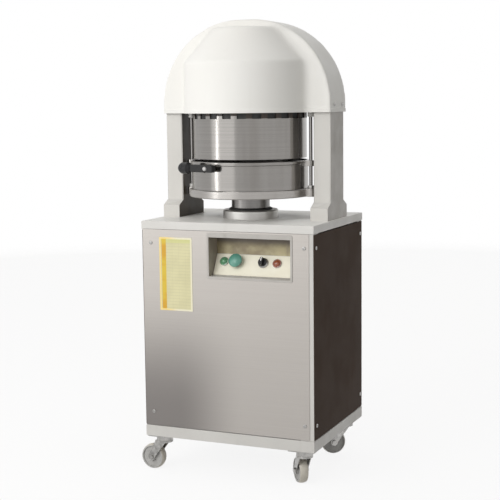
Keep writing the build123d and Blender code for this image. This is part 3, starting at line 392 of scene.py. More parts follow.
postInside = paintFinish("postInside", {
    "pale": (0.085, 0.068, 0.048), "shade": (0.050, 0.040, 0.028), "soil": (0.13, 0.10, 0.07), "soiling": 0.3,
    "specks": 0.2, "patch": 6.0, "rough": (0.28, 0.42), "grain": 300.0, "grainDepth": 0.00005, "specular": 0.12,
})
brushedSheet = {
    "lines": (1.2, 1.2, 900.0), "marks": (1.6, 1.6, 4.0), "rough": (0.36, 0.46), "lineDepth": 0.00001,
}
# The front sheet is darker towards its lower left: painted shade standing for a darker reflection there
frontSheet = steelFinish("frontSheet", {
    **brushedSheet, "pale": (0.425, 0.40, 0.375), "shade": (0.405, 0.38, 0.355), "soil": (0.20, 0.185, 0.17),
    "soiling": 0.06, "dulled": {"across": (-0.16, 0.06), "upward": (0.20, 0.56), "tone": (0.215, 0.20, 0.19)},
})
rearSheet = steelFinish("rearSheet", {
    **brushedSheet, "pale": (0.46, 0.435, 0.41), "shade": (0.44, 0.415, 0.39), "soil": (0.29, 0.265, 0.24),
    "soiling": 0.15,
})
# Side sheets coloured near black-brown: painted dark reflection, standing for a dark room mirrored in the steel
darkSheet = paintFinish("darkSheet", {
    "pale": (0.056, 0.034, 0.022), "shade": (0.047, 0.029, 0.019), "soil": (0.09, 0.064, 0.046), "soiling": 0.16,
    "specks": 0.14, "patch": 2.2, "rough": (0.30, 0.42), "grain": 260.0, "grainDepth": 0.00003,
    "runs": (5, 5, 0.7), "specular": 0.01,
})
recessSheet = paintFinish("recessSheet", {
    "pale": (0.54, 0.52, 0.49), "shade": (0.48, 0.46, 0.43), "soil": (0.22, 0.19, 0.15), "soiling": 0.25,
    "specks": 0.2, "patch": 9.0, "rough": (0.32, 0.5), "grain": 400.0, "grainDepth": 0.00005, "specular": 0.15,
})
recessShade = paintFinish("recessShade", {
    "pale": (0.33, 0.295, 0.245), "shade": (0.26, 0.23, 0.19), "soil": (0.10, 0.08, 0.055), "soiling": 0.3,
    "specks": 0.2, "patch": 14.0, "rough": (0.4, 0.55), "grain": 400.0, "grainDepth": 0.00005,
})
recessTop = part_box("control_tray")[1].z
# The recess's back wall darkens towards its top: painted shade under the rim; its dark runs and patches are painted
# reflection mottling
recessTopShade = {"upward": (recessTop - 0.010, recessTop - 0.034), "tone": (0.13, 0.105, 0.08)}
recessBack = paintFinish("recessBack", {
    "pale": (0.46, 0.395, 0.22), "shade": (0.25, 0.20, 0.115), "soil": (0.13, 0.09, 0.07), "soiling": 0.7,
    "specks": 0.25, "patch": 18.0, "rough": (0.36, 0.5), "grain": 400.0, "grainDepth": 0.00005,
    "runs": (7, 3, 3), "dulled": recessTopShade,
})
polishedSteel = steelFinish("polishedSteel", {
    "pale": (0.30, 0.287, 0.273), "shade": (0.25, 0.24, 0.228), "soil": (0.14, 0.125, 0.11), "soiling": 0.45,
    "lines": (0.6, 0.6, 420.0), "marks": (11.0, 11.0, 0.8), "rough": (0.13, 0.22), "lineDepth": 0.000004,
})
turnedSteel = steelFinish("turnedSteel", {
    "pale": (0.42, 0.40, 0.38), "shade": (0.33, 0.315, 0.30), "soil": (0.19, 0.17, 0.15), "soiling": 0.35,
    "lines": (0.6, 0.6, 700.0), "marks": (9.0, 9.0, 3.0), "rough": (0.24, 0.4), "lineDepth": 0.00002,
})
flangeSteel = steelFinish("flangeSteel", {
    "pale": (0.64, 0.63, 0.61), "shade": (0.56, 0.55, 0.53), "soil": (0.34, 0.31, 0.28), "soiling": 0.25,
    "lines": (0.6, 0.6, 600.0), "marks": (14.0, 14.0, 9.0), "rough": (0.38, 0.5), "lineDepth": 0.00002,
})
columnSteel = steelFinish("columnSteel", {
    "pale": (0.26, 0.25, 0.243), "shade": (0.21, 0.205, 0.20), "soil": (0.11, 0.10, 0.09), "soiling": 0.3,
    "lines": (0.6, 0.6, 500.0), "marks": (12.0, 12.0, 1.2), "rough": (0.28, 0.4), "lineDepth": 0.00001,
})
paintedTabShadow = paintFinish("paintedTabShadow", {
    "pale": (0.050, 0.032, 0.022), "shade": (0.026, 0.018, 0.013), "soil": (0.11, 0.07, 0.05), "soiling": 0.35,
    "specks": 0.2, "patch": 24.0, "rough": (0.35, 0.5), "grain": 400.0, "grainDepth": 0.00004,
})
hardChrome = steelFinish("hardChrome", {
    "pale": (0.34, 0.33, 0.32), "shade": (0.28, 0.27, 0.265), "soil": (0.15, 0.135, 0.12), "soiling": 0.25,
    "lines": (0.6, 0.6, 500.0), "marks": (12.0, 12.0, 1.2), "rough": (0.14, 0.26), "lineDepth": 0.000008,
})
zincSteel = steelFinish("zincSteel", {
    "pale": (0.44, 0.43, 0.415), "shade": (0.34, 0.335, 0.325), "soil": (0.17, 0.155, 0.13), "soiling": 0.45,
    "lines": (60.0, 60.0, 60.0), "marks": (26.0, 26.0, 26.0), "rough": (0.24, 0.44), "lineDepth": 0.00003,
})
forkSteel = steelFinish("forkSteel", {
    "pale": (0.46, 0.45, 0.435), "shade": (0.27, 0.265, 0.255), "soil": (0.06, 0.053, 0.045), "soiling": 0.5,
    "lines": (70.0, 70.0, 70.0), "marks": (38.0, 38.0, 38.0), "rough": (0.10, 0.26), "lineDepth": 0.00004,
})
springSteel = steelFinish("springSteel", {
    "pale": (0.34, 0.33, 0.33), "shade": (0.24, 0.235, 0.235), "soil": (0.12, 0.10, 0.08), "soiling": 0.4,
    "lines": (90.0, 90.0, 90.0), "marks": (30.0, 30.0, 30.0), "rough": (0.26, 0.42), "lineDepth": 0.00002,
})
bronze = steelFinish("bronze", {
    "pale": (0.58, 0.40, 0.20), "shade": (0.47, 0.31, 0.15), "soil": (0.20, 0.12, 0.06), "soiling": 0.35,
    "lines": (0.6, 0.6, 500.0), "marks": (14.0, 14.0, 3.0), "rough": (0.26, 0.42), "lineDepth": 0.00002,
})
blockSteel = steelFinish("blockSteel", {
    "pale": (0.44, 0.43, 0.42), "shade": (0.34, 0.335, 0.33), "soil": (0.16, 0.14, 0.12), "soiling": 0.35,
    "lines": (2.0, 2.0, 380.0), "marks": (20.0, 20.0, 12.0), "rough": (0.3, 0.46), "lineDepth": 0.00002,
})
castGrey = paintFinish("castGrey", {
    "pale": (0.30, 0.295, 0.285), "shade": (0.24, 0.235, 0.225), "soil": (0.11, 0.10, 0.085), "soiling": 0.3,
    "specks": 0.3, "patch": 12.0, "rough": (0.36, 0.55), "grain": 240.0, "grainDepth": 0.00018,
})
sealRubber = paintFinish("sealRubber", {
    "pale": (0.030, 0.030, 0.030), "shade": (0.020, 0.020, 0.020), "soil": (0.10, 0.09, 0.08), "soiling": 0.25,
    "specks": 0.3, "patch": 18.0, "rough": (0.5, 0.7), "grain": 500.0, "grainDepth": 0.00006,
})
pressPlastic = paintFinish("pressPlastic", {
    "pale": (0.80, 0.80, 0.77), "shade": (0.74, 0.735, 0.70), "soil": (0.5, 0.44, 0.33), "soiling": 0.2,
    "specks": 0.15, "patch": 14.0, "rough": (0.4, 0.55), "grain": 500.0, "grainDepth": 0.00004,
})
capPlastic = paintFinish("capPlastic", {
    "pale": (0.82, 0.81, 0.78), "shade": (0.76, 0.75, 0.72), "soil": (0.45, 0.42, 0.36), "soiling": 0.15,
    "specks": 0.12, "patch": 30.0, "rough": (0.32, 0.45), "grain": 500.0, "grainDepth": 0.00004,
})
blackPlastic = paintFinish("blackPlastic", {
    "pale": (0.022, 0.022, 0.023), "shade": (0.014, 0.014, 0.015), "soil": (0.10, 0.095, 0.09), "soiling": 0.18,
    "specks": 0.25, "patch": 24.0, "rough": (0.24, 0.4), "grain": 420.0, "grainDepth": 0.00005, "specular": 0.25,
})
blackSteel = paintFinish("blackSteel", {
    "pale": (0.026, 0.025, 0.025), "shade": (0.016, 0.016, 0.016), "soil": (0.12, 0.11, 0.10), "soiling": 0.25,
    "specks": 0.3, "patch": 16.0, "rough": (0.3, 0.48), "grain": 320.0, "grainDepth": 0.00008, "specular": 0.25,
})
switchPlastic = paintFinish("switchPlastic", {
    "pale": (0.034, 0.034, 0.036), "shade": (0.024, 0.024, 0.026), "soil": (0.13, 0.12, 0.11), "soiling": 0.2,
    "specks": 0.25, "patch": 24.0, "rough": (0.36, 0.5), "grain": 500.0, "grainDepth": 0.00006,
})
controlCream = paintFinish("controlCream", {
    "pale": (0.90, 0.865, 0.72), "shade": (0.86, 0.82, 0.66), "soil": (0.55, 0.49, 0.33), "soiling": 0.14,
    "specks": 0.12, "patch": 16.0, "rough": (0.34, 0.5), "grain": 600.0, "grainDepth": 0.00003,
})
tealPlastic = paintFinish("tealPlastic", {
    "pale": (0.12, 0.34, 0.265), "shade": (0.09, 0.28, 0.215), "soil": (0.16, 0.28, 0.23), "soiling": 0.25,
    "specks": 0.2, "patch": 40.0, "rough": (0.26, 0.4), "grain": 600.0, "grainDepth": 0.00003, "coat": 0.2,
})
wheelGrey = paintFinish("wheelGrey", {
    "pale": (0.47, 0.465, 0.45), "shade": (0.35, 0.345, 0.33), "soil": (0.11, 0.10, 0.08), "soiling": 0.5,
    "specks": 0.4, "patch": 26.0, "rough": (0.42, 0.6), "grain": 420.0, "grainDepth": 0.00008,
})
treadBeige = paintFinish("treadBeige", {
    "pale": (0.66, 0.62, 0.54), "shade": (0.55, 0.515, 0.445), "soil": (0.20, 0.17, 0.13), "soiling": 0.4,
    "specks": 0.35, "patch": 30.0, "rough": (0.42, 0.6), "grain": 420.0, "grainDepth": 0.00008,
})
tankPaint = paintFinish("tankPaint", {
    "pale": (0.20, 0.23, 0.26), "shade": (0.165, 0.19, 0.215), "soil": (0.07, 0.06, 0.05), "soiling": 0.3,
    "specks": 0.2, "patch": 8.0, "rough": (0.34, 0.5), "grain": 320.0, "grainDepth": 0.00007,
})
motorPaint = paintFinish("motorPaint", {
    "pale": (0.17, 0.20, 0.235), "shade": (0.13, 0.155, 0.185), "soil": (0.06, 0.055, 0.05), "soiling": 0.3,
    "specks": 0.25, "patch": 12.0, "rough": (0.38, 0.55), "grain": 300.0, "grainDepth": 0.0001,
})
boxGrey = paintFinish("boxGrey", {
    "pale": (0.50, 0.50, 0.485), "shade": (0.44, 0.44, 0.425), "soil": (0.22, 0.20, 0.17), "soiling": 0.2,
    "specks": 0.2, "patch": 8.0, "rough": (0.38, 0.52), "grain": 380.0, "grainDepth": 0.00006,
})


lensMould = {
    "depths": 160.0, "gloss": 60.0, "rough": (0.10, 0.22), "ribs": 700.0, "ribDepth": 0.00005, "clear": 0.25,
    "coat": 0.5,
}


def lensFinish(name, pale, deep):
    # Moulded lamp lens: clear colour with a ribbed inside
    finish, tree, shader = newFinish(name)
    points = objectPoints(tree)
    colour = mixColours(tree, spread(tree, cloud(tree, points, lensMould["depths"]), *softSpan), pale, deep)
    tree.links.new(colour, shader.inputs["Base Color"])
    gloss = spread(tree, cloud(tree, points, lensMould["gloss"]), *softSpan, *lensMould["rough"])
    tree.links.new(gloss, shader.inputs["Roughness"])
    ribs = relief(tree, cloud(tree, points, lensMould["ribs"], 1.0), lensMould["ribDepth"])
    tree.links.new(ribs, shader.inputs["Normal"])
    shader.inputs["Transmission Weight"].default_value = lensMould["clear"]
    shader.inputs["Coat Weight"].default_value = lensMould["coat"]
    return finish


greenLens = lensFinish("greenLens", pale=(0.20, 0.50, 0.27), deep=(0.06, 0.28, 0.12))
redLens = lensFinish("redLens", pale=(0.46, 0.13, 0.05), deep=(0.27, 0.055, 0.022))


def chartFinish(name, look):
    # Printed plate: faint ruled table on pale yellow, a golden column and a thin border, with no words
    finish, tree, shader = newFinish(name)
    low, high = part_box("chart_plate")
    size = high - low
    points = objectPoints(tree)
    split = tree.nodes.new("ShaderNodeSeparateXYZ")
    tree.links.new(points, split.inputs[0])
    across = figure(tree, "DIVIDE", figure(tree, "SUBTRACT", split.outputs["X"], low.x), size.x)
    upward = figure(tree, "DIVIDE", figure(tree, "SUBTRACT", split.outputs["Z"], low.z), size.z)
    tone = spread(tree, cloud(tree, points, look["stain"], 4.0), *softSpan)
    colour = mixColours(tree, tone, look["cream"], look["aged"])
    for position, count in ((across, look["columns"]), (upward, look["rows"])):
        cell = figure(tree, "FRACT", figure(tree, "MULTIPLY", position, float(count)), 0.0)
        width = look["rule"] * count
        rule = spread(tree, apart(tree, cell, 0.5), 0.5 - width, 0.5 - width / 2, 0.0, look["ruleShare"])
        colour = mixColours(tree, rule, colour, look["ink"])
    head = spread(tree, upward, *look["headSpan"], 0.0, look["headShare"])
    colour = mixColours(tree, head, colour, look["head"])
    marks = cloud(tree, objectPoints(tree, look["markStretch"]), look["markSize"], 2.0)
    gold = mixColours(tree, spread(tree, marks, *look["markSpan"]), look["gold"], look["orange"])
    fromStripe = apart(tree, across, look["stripeAt"])
    stripe = spread(tree, fromStripe, look["stripeHalf"], look["stripeHalf"] * look["softEdge"])
    colour = mixColours(tree, stripe, colour, gold)
    sideways = figure(tree, "MULTIPLY", apart(tree, across, 0.5), size.x)
    lengthways = figure(tree, "MULTIPLY", apart(tree, upward, 0.5), size.z)
    fromMiddle = figure(tree, "MAXIMUM", sideways, figure(tree, "ADD", lengthways, (size.x - size.z) / 2))
    border = spread(tree, fromMiddle, size.x / 2 - look["border"], size.x / 2 - look["border"] * look["softEdge"])
    edging = mixColours(tree, spread(tree, across, *look["edgingSpan"]), look["yellow"], look["pale"])
    colour = mixColours(tree, border, colour, edging)
    tree.links.new(colour, shader.inputs["Base Color"])
    gloss = spread(tree, cloud(tree, points, look["gloss"]), *softSpan, *look["rough"])
    tree.links.new(gloss, shader.inputs["Roughness"])
    skin = relief(tree, cloud(tree, points, look["grain"], 2.0), look["grainDepth"])
    tree.links.new(skin, shader.inputs["Normal"])
    return finish


chartPrint = chartFinish("chartPrint", {
    "cream": (0.71, 0.67, 0.40), "aged": (0.65, 0.61, 0.36), "stain": 22.0, "ink": (0.44, 0.42, 0.24), "columns": 5,
    "rows": 24, "rule": 0.006, "ruleShare": 0.22, "head": (0.62, 0.64, 0.20), "headSpan": (0.92, 0.93),
    "headShare": 0.5, "gold": (0.70, 0.50, 0.040), "orange": (0.66, 0.36, 0.022), "stripeAt": 0.14,
    "stripeHalf": 0.075, "markStretch": (0.5, 0.5, 1.0), "markSize": 19.0, "markSpan": (0.45, 0.62),
    "yellow": (0.88, 0.69, 0.26), "pale": (0.84, 0.80, 0.60), "edgingSpan": (0.2, 0.6), "border": 0.0055,
    "softEdge": 0.85, "gloss": 30.0, "rough": (0.32, 0.46), "grain": 500.0, "grainDepth": 0.00002,
})
print("finishes ready:", len(bpy.data.materials))


# Cabinet
tableTop = {"piece": "tablePlate", "node": "table_top", "round": 0.0014, "finish": greyEnamel}
baseFrame = {"piece": "baseRails", "node": "base_frame", "round": 0.0016, "finish": frameEnamel}
bottomPlate = {"piece": "floorSheet", "node": "bottom_plate", "round": 0.0004, "finish": recessSheet}
cornerPosts = {"piece": "cornerAngles", "node": "corner_posts", "round": 0.0007, "finish": frameEnamel}
frontPanel = {
    "piece": "frontSkin", "node": "front_panel", "round": 0.0003, "finish": frontSheet, "edge": 0.001, "raise": 0.0019,
}
rearPanel = {"piece": "rearSkin", "node": "rear_panel", "round": 0.0003, "finish": rearSheet}
leftPanel = {"piece": "leftSkin", "node": "left_side_panel", "round": 0.0003, "finish": darkSheet}
rightPanel = {"piece": "rightSkin", "node": "right_side_panel", "round": 0.0003, "finish": darkSheet}
cableGland = {"node": "cable_gland", "round": 0.0005, "finish": switchPlastic}
for look in (baseFrame, bottomPlate, rearPanel, leftPanel, rightPanel, cableGland):
    dressCopy(look)
# The table plate's upward face takes the paler white enamel: painted light on the face that looks up
paintFaces(dressCopy(tableTop), whiteEnamel, lambda centre, normal: normal.z > facing)
frontSkin = dressCopy(frontPanel)
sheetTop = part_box("front_panel")[1].z
pickEdges(frontSkin, lambda first, second: min(first.z, second.z) > sheetTop - frontPanel["edge"])
bpy.ops.transform.translate(value=(0, 0, frontPanel["raise"]))  # tucks the sheet up under the table plate
paintFaces(dressCopy(cornerPosts), frontSheet, lambda centre, normal: centre.x < 0 and centre.y < 0)
print("cabinet dressed")

# Screw heads with a cross recess, modelled once and copied
screwHead = {
    "sides": 28, "height": 0.0022, "crown": 0.0014, "crownSteps": 4, "crownFrom": 0.9, "crossLength": 0.0062,
    "crossWidth": 0.0012, "crossDepth": 0.0013, "firstTurn": 12, "turnStep": 37, "angle": 35, "finish": zincSteel,
}


def modelScrew(radius):
    height = screwHead["height"]
    clearSelection()
    bpy.ops.mesh.primitive_cylinder_add(
        vertices=screwHead["sides"], radius=radius, depth=height, location=(0, 0, height / 2)
    )
    screw = bpy.context.object
    settle(screw)
    pickEdges(screw, lambda first, second: min(first.z, second.z) > height * screwHead["crownFrom"])
    bpy.ops.mesh.bevel(offset=screwHead["crown"], segments=screwHead["crownSteps"], affect="EDGES")
    slot = (screwHead["crossLength"], screwHead["crossWidth"])
    for size in (slot, slot[::-1]):
        clearSelection()
        bpy.ops.mesh.primitive_cube_add(size=1, location=(0, 0, height))
        cutter = bpy.context.object
        cutter.scale = (*size, 2 * screwHead["crossDepth"])
        settle(cutter)
        applyModifier(screw, "BOOLEAN", object=cutter, operation="DIFFERENCE", solver="EXACT")
        bpy.data.objects.remove(cutter)
    return screw


def longAxis(size):
    # The side of a screw's box that is least like the other two
    def unlike(axis):
        return min(abs(size[axis] - size[other]) for other in range(3) if other != axis)

    return max(range(3), key=unlike)


def setScrews(node, name):
    copies = []
    model = None
    for number, (low, high) in enumerate(islandBoxes(node)):
        size = high - low
        middle = (low + high) / 2
        along = longAxis(size)
        outward = Vector((0, 0, 0))
        outward[along] = 1.0 if middle[along] > 0 else -1.0
        foot = middle.copy()
        foot[along] = (high[along] if middle[along] > 0 else low[along]) - outward[along] * screwHead["height"]
        if model is None:
            model = modelScrew(max(size[axis] for axis in range(3) if axis != along) / 2)
        screw = bpy.data.objects.new(name, model.data.copy())
        bpy.context.scene.collection.objects.link(screw)
        turn = Quaternion((0, 0, 1), math.radians(screwHead["firstTurn"] + screwHead["turnStep"] * number))
        stand = outward.to_track_quat("Z", "Y") @ turn
        screw.matrix_world = Matrix.Translation(foot) @ stand.to_matrix().to_4x4()
        settle(screw)
        copies.append(screw)
    bpy.data.objects.remove(model)
    joined = joinPieces(copies, name)
    smoothShade(joined, screwHead["angle"])
    return fitOut(joined, node, screwHead["finish"])


setScrews("panel_screws", "sheetScrews")
setScrews("hood_screws", "hoodScrews")
print("screws set")

# Control recess
controlTray = {"node": "control_tray", "round": 0.0004, "finish": recessSheet, "wall": 0.004, "mouth": 0.02}
controlBezel = {"piece": "controlFrame", "node": "control_bezel", "round": 0.0007, "finish": recessSheet}
controlPanel = {"piece": "controlPlate", "node": "control_panel", "round": 0.0004, "finish": controlCream}
controlCollars = {"piece": "switchCollars", "node": "control_collars", "round": 0.0004, "finish": zincSteel}
contactBlocks = {"node": "contact_blocks", "round": 0.0006, "finish": switchPlastic}
startButton = {"node": "start_button", "round": 0.0008, "segments": 3, "finish": tealPlastic}
selectorKnob = {"node": "selector_knob", "round": 0.0008, "finish": blackPlastic}
chartPlate = {"node": "chart_plate", "round": 0.0003, "finish": chartPrint}
for look in (controlBezel, controlPanel, controlCollars, contactBlocks, startButton, chartPlate):
    dressCopy(look)
tray = dressCopy(controlTray)
trayLow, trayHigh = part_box("control_tray")
paintFaces(
    tray, recessBack, lambda centre, normal: normal.y < -facing and centre.y > trayLow.y + controlTray["mouth"]
)
# Top and left inner walls of the recess are painted darker: painted shade inside the recess
paintFaces(
    tray, recessShade,
    lambda centre, normal: normal.z < -facing and centre.z > trayHigh.z - controlTray["wall"]
    or normal.x > facing and centre.x < trayLow.x + controlTray["wall"],
)

outOfPlate = -Vector(jointNamed("start_press")["axis"]).normalized()
upThePlate = Vector((1, 0, 0)).cross(outOfPlate)
if upThePlate.z < 0:
    upThePlate = -upThePlate

# Lamps: metal rim, coloured lens
lampRim = {"round": 0.0005, "angle": 45, "finish": zincSteel, "lensRadius": 0.0107, "lensDepth": 0.009}
greenLamp = {**lampRim, "node": "green_lamp", "lens": greenLens}
redLamp = {**lampRim, "node": "red_lamp", "lens": redLens}
for look in (greenLamp, redLamp):
    lamp = dressCopy(look)
    along = [point.co.dot(upThePlate) for point in lamp.data.vertices]
    sideways = [point.co.x for point in lamp.data.vertices]
    outward = [point.co.dot(outOfPlate) for point in lamp.data.vertices]
    middleAlong = (min(along) + max(along)) / 2
    middleSide = (min(sideways) + max(sideways)) / 2
    lensFoot = max(outward) - look["lensDepth"]
    paintFaces(
        lamp, look["lens"],
        lambda centre, normal: centre.dot(outOfPlate) > lensFoot
        and math.hypot(centre.x - middleSide, centre.dot(upThePlate) - middleAlong) < look["lensRadius"],
    )

# Selector with a white pointer on its grip
pointerLook = {
    "piece": "selectorPointer", "size": (0.0030, 0.0120, 0.0012), "sink": 0.0004, "up": 0.0045, "round": 0.0004,
}
knob = dressCopy(selectorKnob)
gripTop = max(point.co.dot(outOfPlate) for point in knob.data.vertices)
knobLow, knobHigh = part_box("selector_knob")
knobMiddle = (knobLow + knobHigh) / 2
clearSelection()
bpy.ops.mesh.primitive_cube_add(size=1)
pointer = bpy.context.object
pointer.name = pointerLook["piece"]
pointer.scale = pointerLook["size"]
settle(pointer)
roundEdges(pointer, pointerLook["round"])
spot = knobMiddle + upThePlate * pointerLook["up"]
spot += outOfPlate * (gripTop + pointerLook["size"][2] / 2 - pointerLook["sink"] - spot.dot(outOfPlate))
turn = Matrix((Vector((1, 0, 0)), upThePlate, Vector((1, 0, 0)).cross(upThePlate))).transposed()
pointer.matrix_world = Matrix.Translation(spot) @ turn.to_4x4()
settle(pointer)
smoothShade(pointer)
addOn(pointer, bodyOfNode["selector_knob"], capPlastic)
print("controls dressed")

# Lift: cylinder flange, seal, ram, disc, rods and ring
ramCylinder = {"piece": "liftCylinder", "node": "ram_cylinder", "round": 0.0008, "finish": castGrey, "sink": 0.0005}
guideBush = {"node": "guide_bush", "round": 0.0004, "finish": bronze}
wiperSeal = {"node": "wiper_seal", "round": 0.0005, "finish": sealRubber}
ramColumn = {"node": "ram_column", "round": 0.0008, "finish": columnSteel}
panDisc = {"node": "pan_disc", "round": 0.0008, "finish": turnedSteel}
guideRods = {"node": "guide_rods", "round": 0.0006, "finish": hardChrome}
rodNuts = {"node": "rod_nuts", "round": 0.0006, "finish": zincSteel}
rodCaps = {"node": "rod_caps", "round": 0.0024, "segments": 4, "finish": capPlastic}
panRing = {"node": "pan_ring", "round": 0.0006, "finish": polishedSteel}
ringLever = {"node": "ring_lever", "round": 0.0006, "finish": blackSteel, "inward": 0.5}
leverKnob = {"node": "lever_knob", "round": 0.0004, "finish": blackPlastic}
leverScrew = {"node": "lever_screw", "round": 0.0005, "finish": blockSteel}
for look in (
    guideBush, wiperSeal, ramColumn, panDisc, guideRods, rodNuts, rodCaps, panRing, leverKnob, leverScrew,
):
    dressCopy(look)
leverAxis = Vector(jointNamed("lever_turn")["axis"]).normalized()
leverInward = leverAxis if leverAxis.y > 0 else -leverAxis
paintFaces(
    dressCopy(ringLever), turnedSteel, lambda centre, normal: normal.dot(leverInward) > ringLever["inward"]
)
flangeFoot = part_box("table_top")[1].z - ramCylinder["sink"]
paintFaces(dressCopy(ramCylinder), flangeSteel, lambda centre, normal: centre.z > flangeFoot)
print("lift dressed")

# Cutting head
cutterDrum = {
    "piece": "cutterDrum", "node": "cutter_drum", "round": 0.0005, "finish": polishedSteel,
    "tabDrops": (0.0155, 0.008), "shadedFrom": 0.03,
}
knifeBasket = {"node": "knife_basket", "finish": polishedSteel, "angle": 30}
pressPlates = {"node": "press_plates", "round": 0.0007, "finish": pressPlastic}
headPlate = {"node": "head_plate", "round": 0.0006, "finish": turnedSteel}
pressurePlate = {"node": "pressure_plate", "round": 0.0006, "finish": turnedSteel}
tieColumns = {"node": "tie_columns", "round": 0.0006, "finish": hardChrome}
crosshead = {"node": "crosshead", "round": 0.002, "finish": castGrey}
for look in (knifeBasket, pressPlates, headPlate, pressurePlate, tieColumns, crosshead):
    dressCopy(look)
drumLow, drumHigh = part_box("cutter_drum")
tabFoot, tabWaist = (drumHigh.z - drop for drop in cutterDrum["tabDrops"])
drum = copySolid(cutterDrum["node"], cutterDrum["piece"])
for height in (tabFoot, tabWaist):
    editAll(drum)
    bpy.ops.mesh.bisect(plane_co=(0, 0, height), plane_no=(0, 0, 1))
roundEdges(drum, cutterDrum["round"])
smoothShade(drum)
fitOut(drum, cutterDrum["node"], cutterDrum["finish"])
# Tabs are painted dark above their waist, and down to their feet on the right: painted shadow under the hood's hem
paintFaces(
    drum, paintedTabShadow,
    lambda centre, normal: centre.z > (tabWaist if centre.x < cutterDrum["shadedFrom"] else tabFoot),
)

# Dark rubber ring behind the notches: a dark sheet standing in for the shade inside the drum
shadowLiner = {
    "piece": "shadowLiner", "wall": 0.004, "gap": 0.0001, "thick": 0.0012, "below": 0.003, "round": 0.0002, "sides": 120,
}
drumMiddle = (drumLow + drumHigh) / 2
stripRadius = (drumHigh.x - drumLow.x) / 2 - shadowLiner["wall"] - shadowLiner["gap"]
stripLow = tabFoot - shadowLiner["below"]
clearSelection()
bpy.ops.mesh.primitive_cylinder_add(
    vertices=shadowLiner["sides"], radius=stripRadius, depth=drumHigh.z - stripLow, end_fill_type="NOTHING",
    location=(drumMiddle.x, drumMiddle.y, (drumHigh.z + stripLow) / 2),
)
strip = bpy.context.object
strip.name = shadowLiner["piece"]
settle(strip)
applyModifier(strip, "SOLIDIFY", thickness=shadowLiner["thick"], offset=-1.0)
roundEdges(strip, shadowLiner["round"])
smoothShade(strip)
addOn(strip, bodyOfNode["cutter_drum"], sealRubber)
print("cutting head dressed")

# Return springs: a wire wound between the pressure plate and the crosshead
returnSpring = {
    "piece": "returnSprings", "node": "press_springs", "wire": 0.0018, "turns": 7, "stepsPerTurn": 28, "wireSides": 10,
    "angle": 60, "finish": springSteel,
}


def windSpring(low, high):
    middle = (low + high) / 2
    coilRadius = (high.x - low.x) / 2 - returnSpring["wire"]
    rise = high.z - low.z - 2 * returnSpring["wire"]
    steps = returnSpring["stepsPerTurn"] * returnSpring["turns"]
    clearSelection()
    bpy.ops.mesh.primitive_circle_add(
        vertices=returnSpring["wireSides"], radius=returnSpring["wire"], fill_type="NOTHING",
        location=(coilRadius, 0, 0), rotation=(math.pi / 2, 0, 0),
    )
    spring = bpy.context.object
    settle(spring)
    applyModifier(
        spring, "SCREW", axis="Z", angle=2 * math.pi * returnSpring["turns"], screw_offset=rise,
        steps=steps, render_steps=steps, use_normal_calculate=True,
    )
    editAll(spring)
    bpy.ops.mesh.select_all(action="DESELECT")
    bpy.ops.mesh.select_non_manifold(extend=False)
    bpy.ops.mesh.edge_face_add()
    bpy.ops.mesh.select_all(action="SELECT")
    bpy.ops.mesh.remove_doubles(threshold=mergeDistance)
    bpy.ops.mesh.normals_make_consistent(inside=False)
    clearSelection()
    spring.location = (middle.x, middle.y, low.z + returnSpring["wire"])
    settle(spring)
    return spring


springBoxes = islandBoxes(returnSpring["node"])
springs = joinPieces([windSpring(low, high) for low, high in springBoxes], returnSpring["piece"])
smoothShade(springs, returnSpring["angle"])
fitOut(springs, returnSpring["node"], returnSpring["finish"])
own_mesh(springs)
print("springs wound")

# Posts: light enamel, with painted shade on the faces that look right: dark on the left post's face towards the drum,
# duller on the right post's outer face
leftPost = {"node": "left_post", "finish": postEnamel, "rightFace": postInside}
rightPost = {"node": "right_post", "finish": postEnamel, "rightFace": recessSheet}
for look in (leftPost, rightPost):
    paintFaces(dressCopy(look), look["rightFace"], lambda centre, normal: normal.x > facing)
print("posts dressed")

# Hood: arch and round cover run into each other in one soft skin
hoodLook = {
    "piece": "hoodSkin", "node": "hood", "voxel": 0.0042, "wall": 0.003, "archCorner": 0.241, "archSteps": 40,
    "archDepth": 0.134, "archMiddle": 0.001, "coverSides": 160, "crease": 0.143, "coneRadius": 0.104,
    "coneDrop": 0.023, "spare": 0.03, "blendReach": 0.05, "blendPasses": 70, "edgePasses": 5, "easing": 0.5,
    "hem": 0.011, "hemRound": 0.0012, "hemRise": 0.0012, "nearby": 0.001, "angle": 50, "finish": whiteEnamel,
}


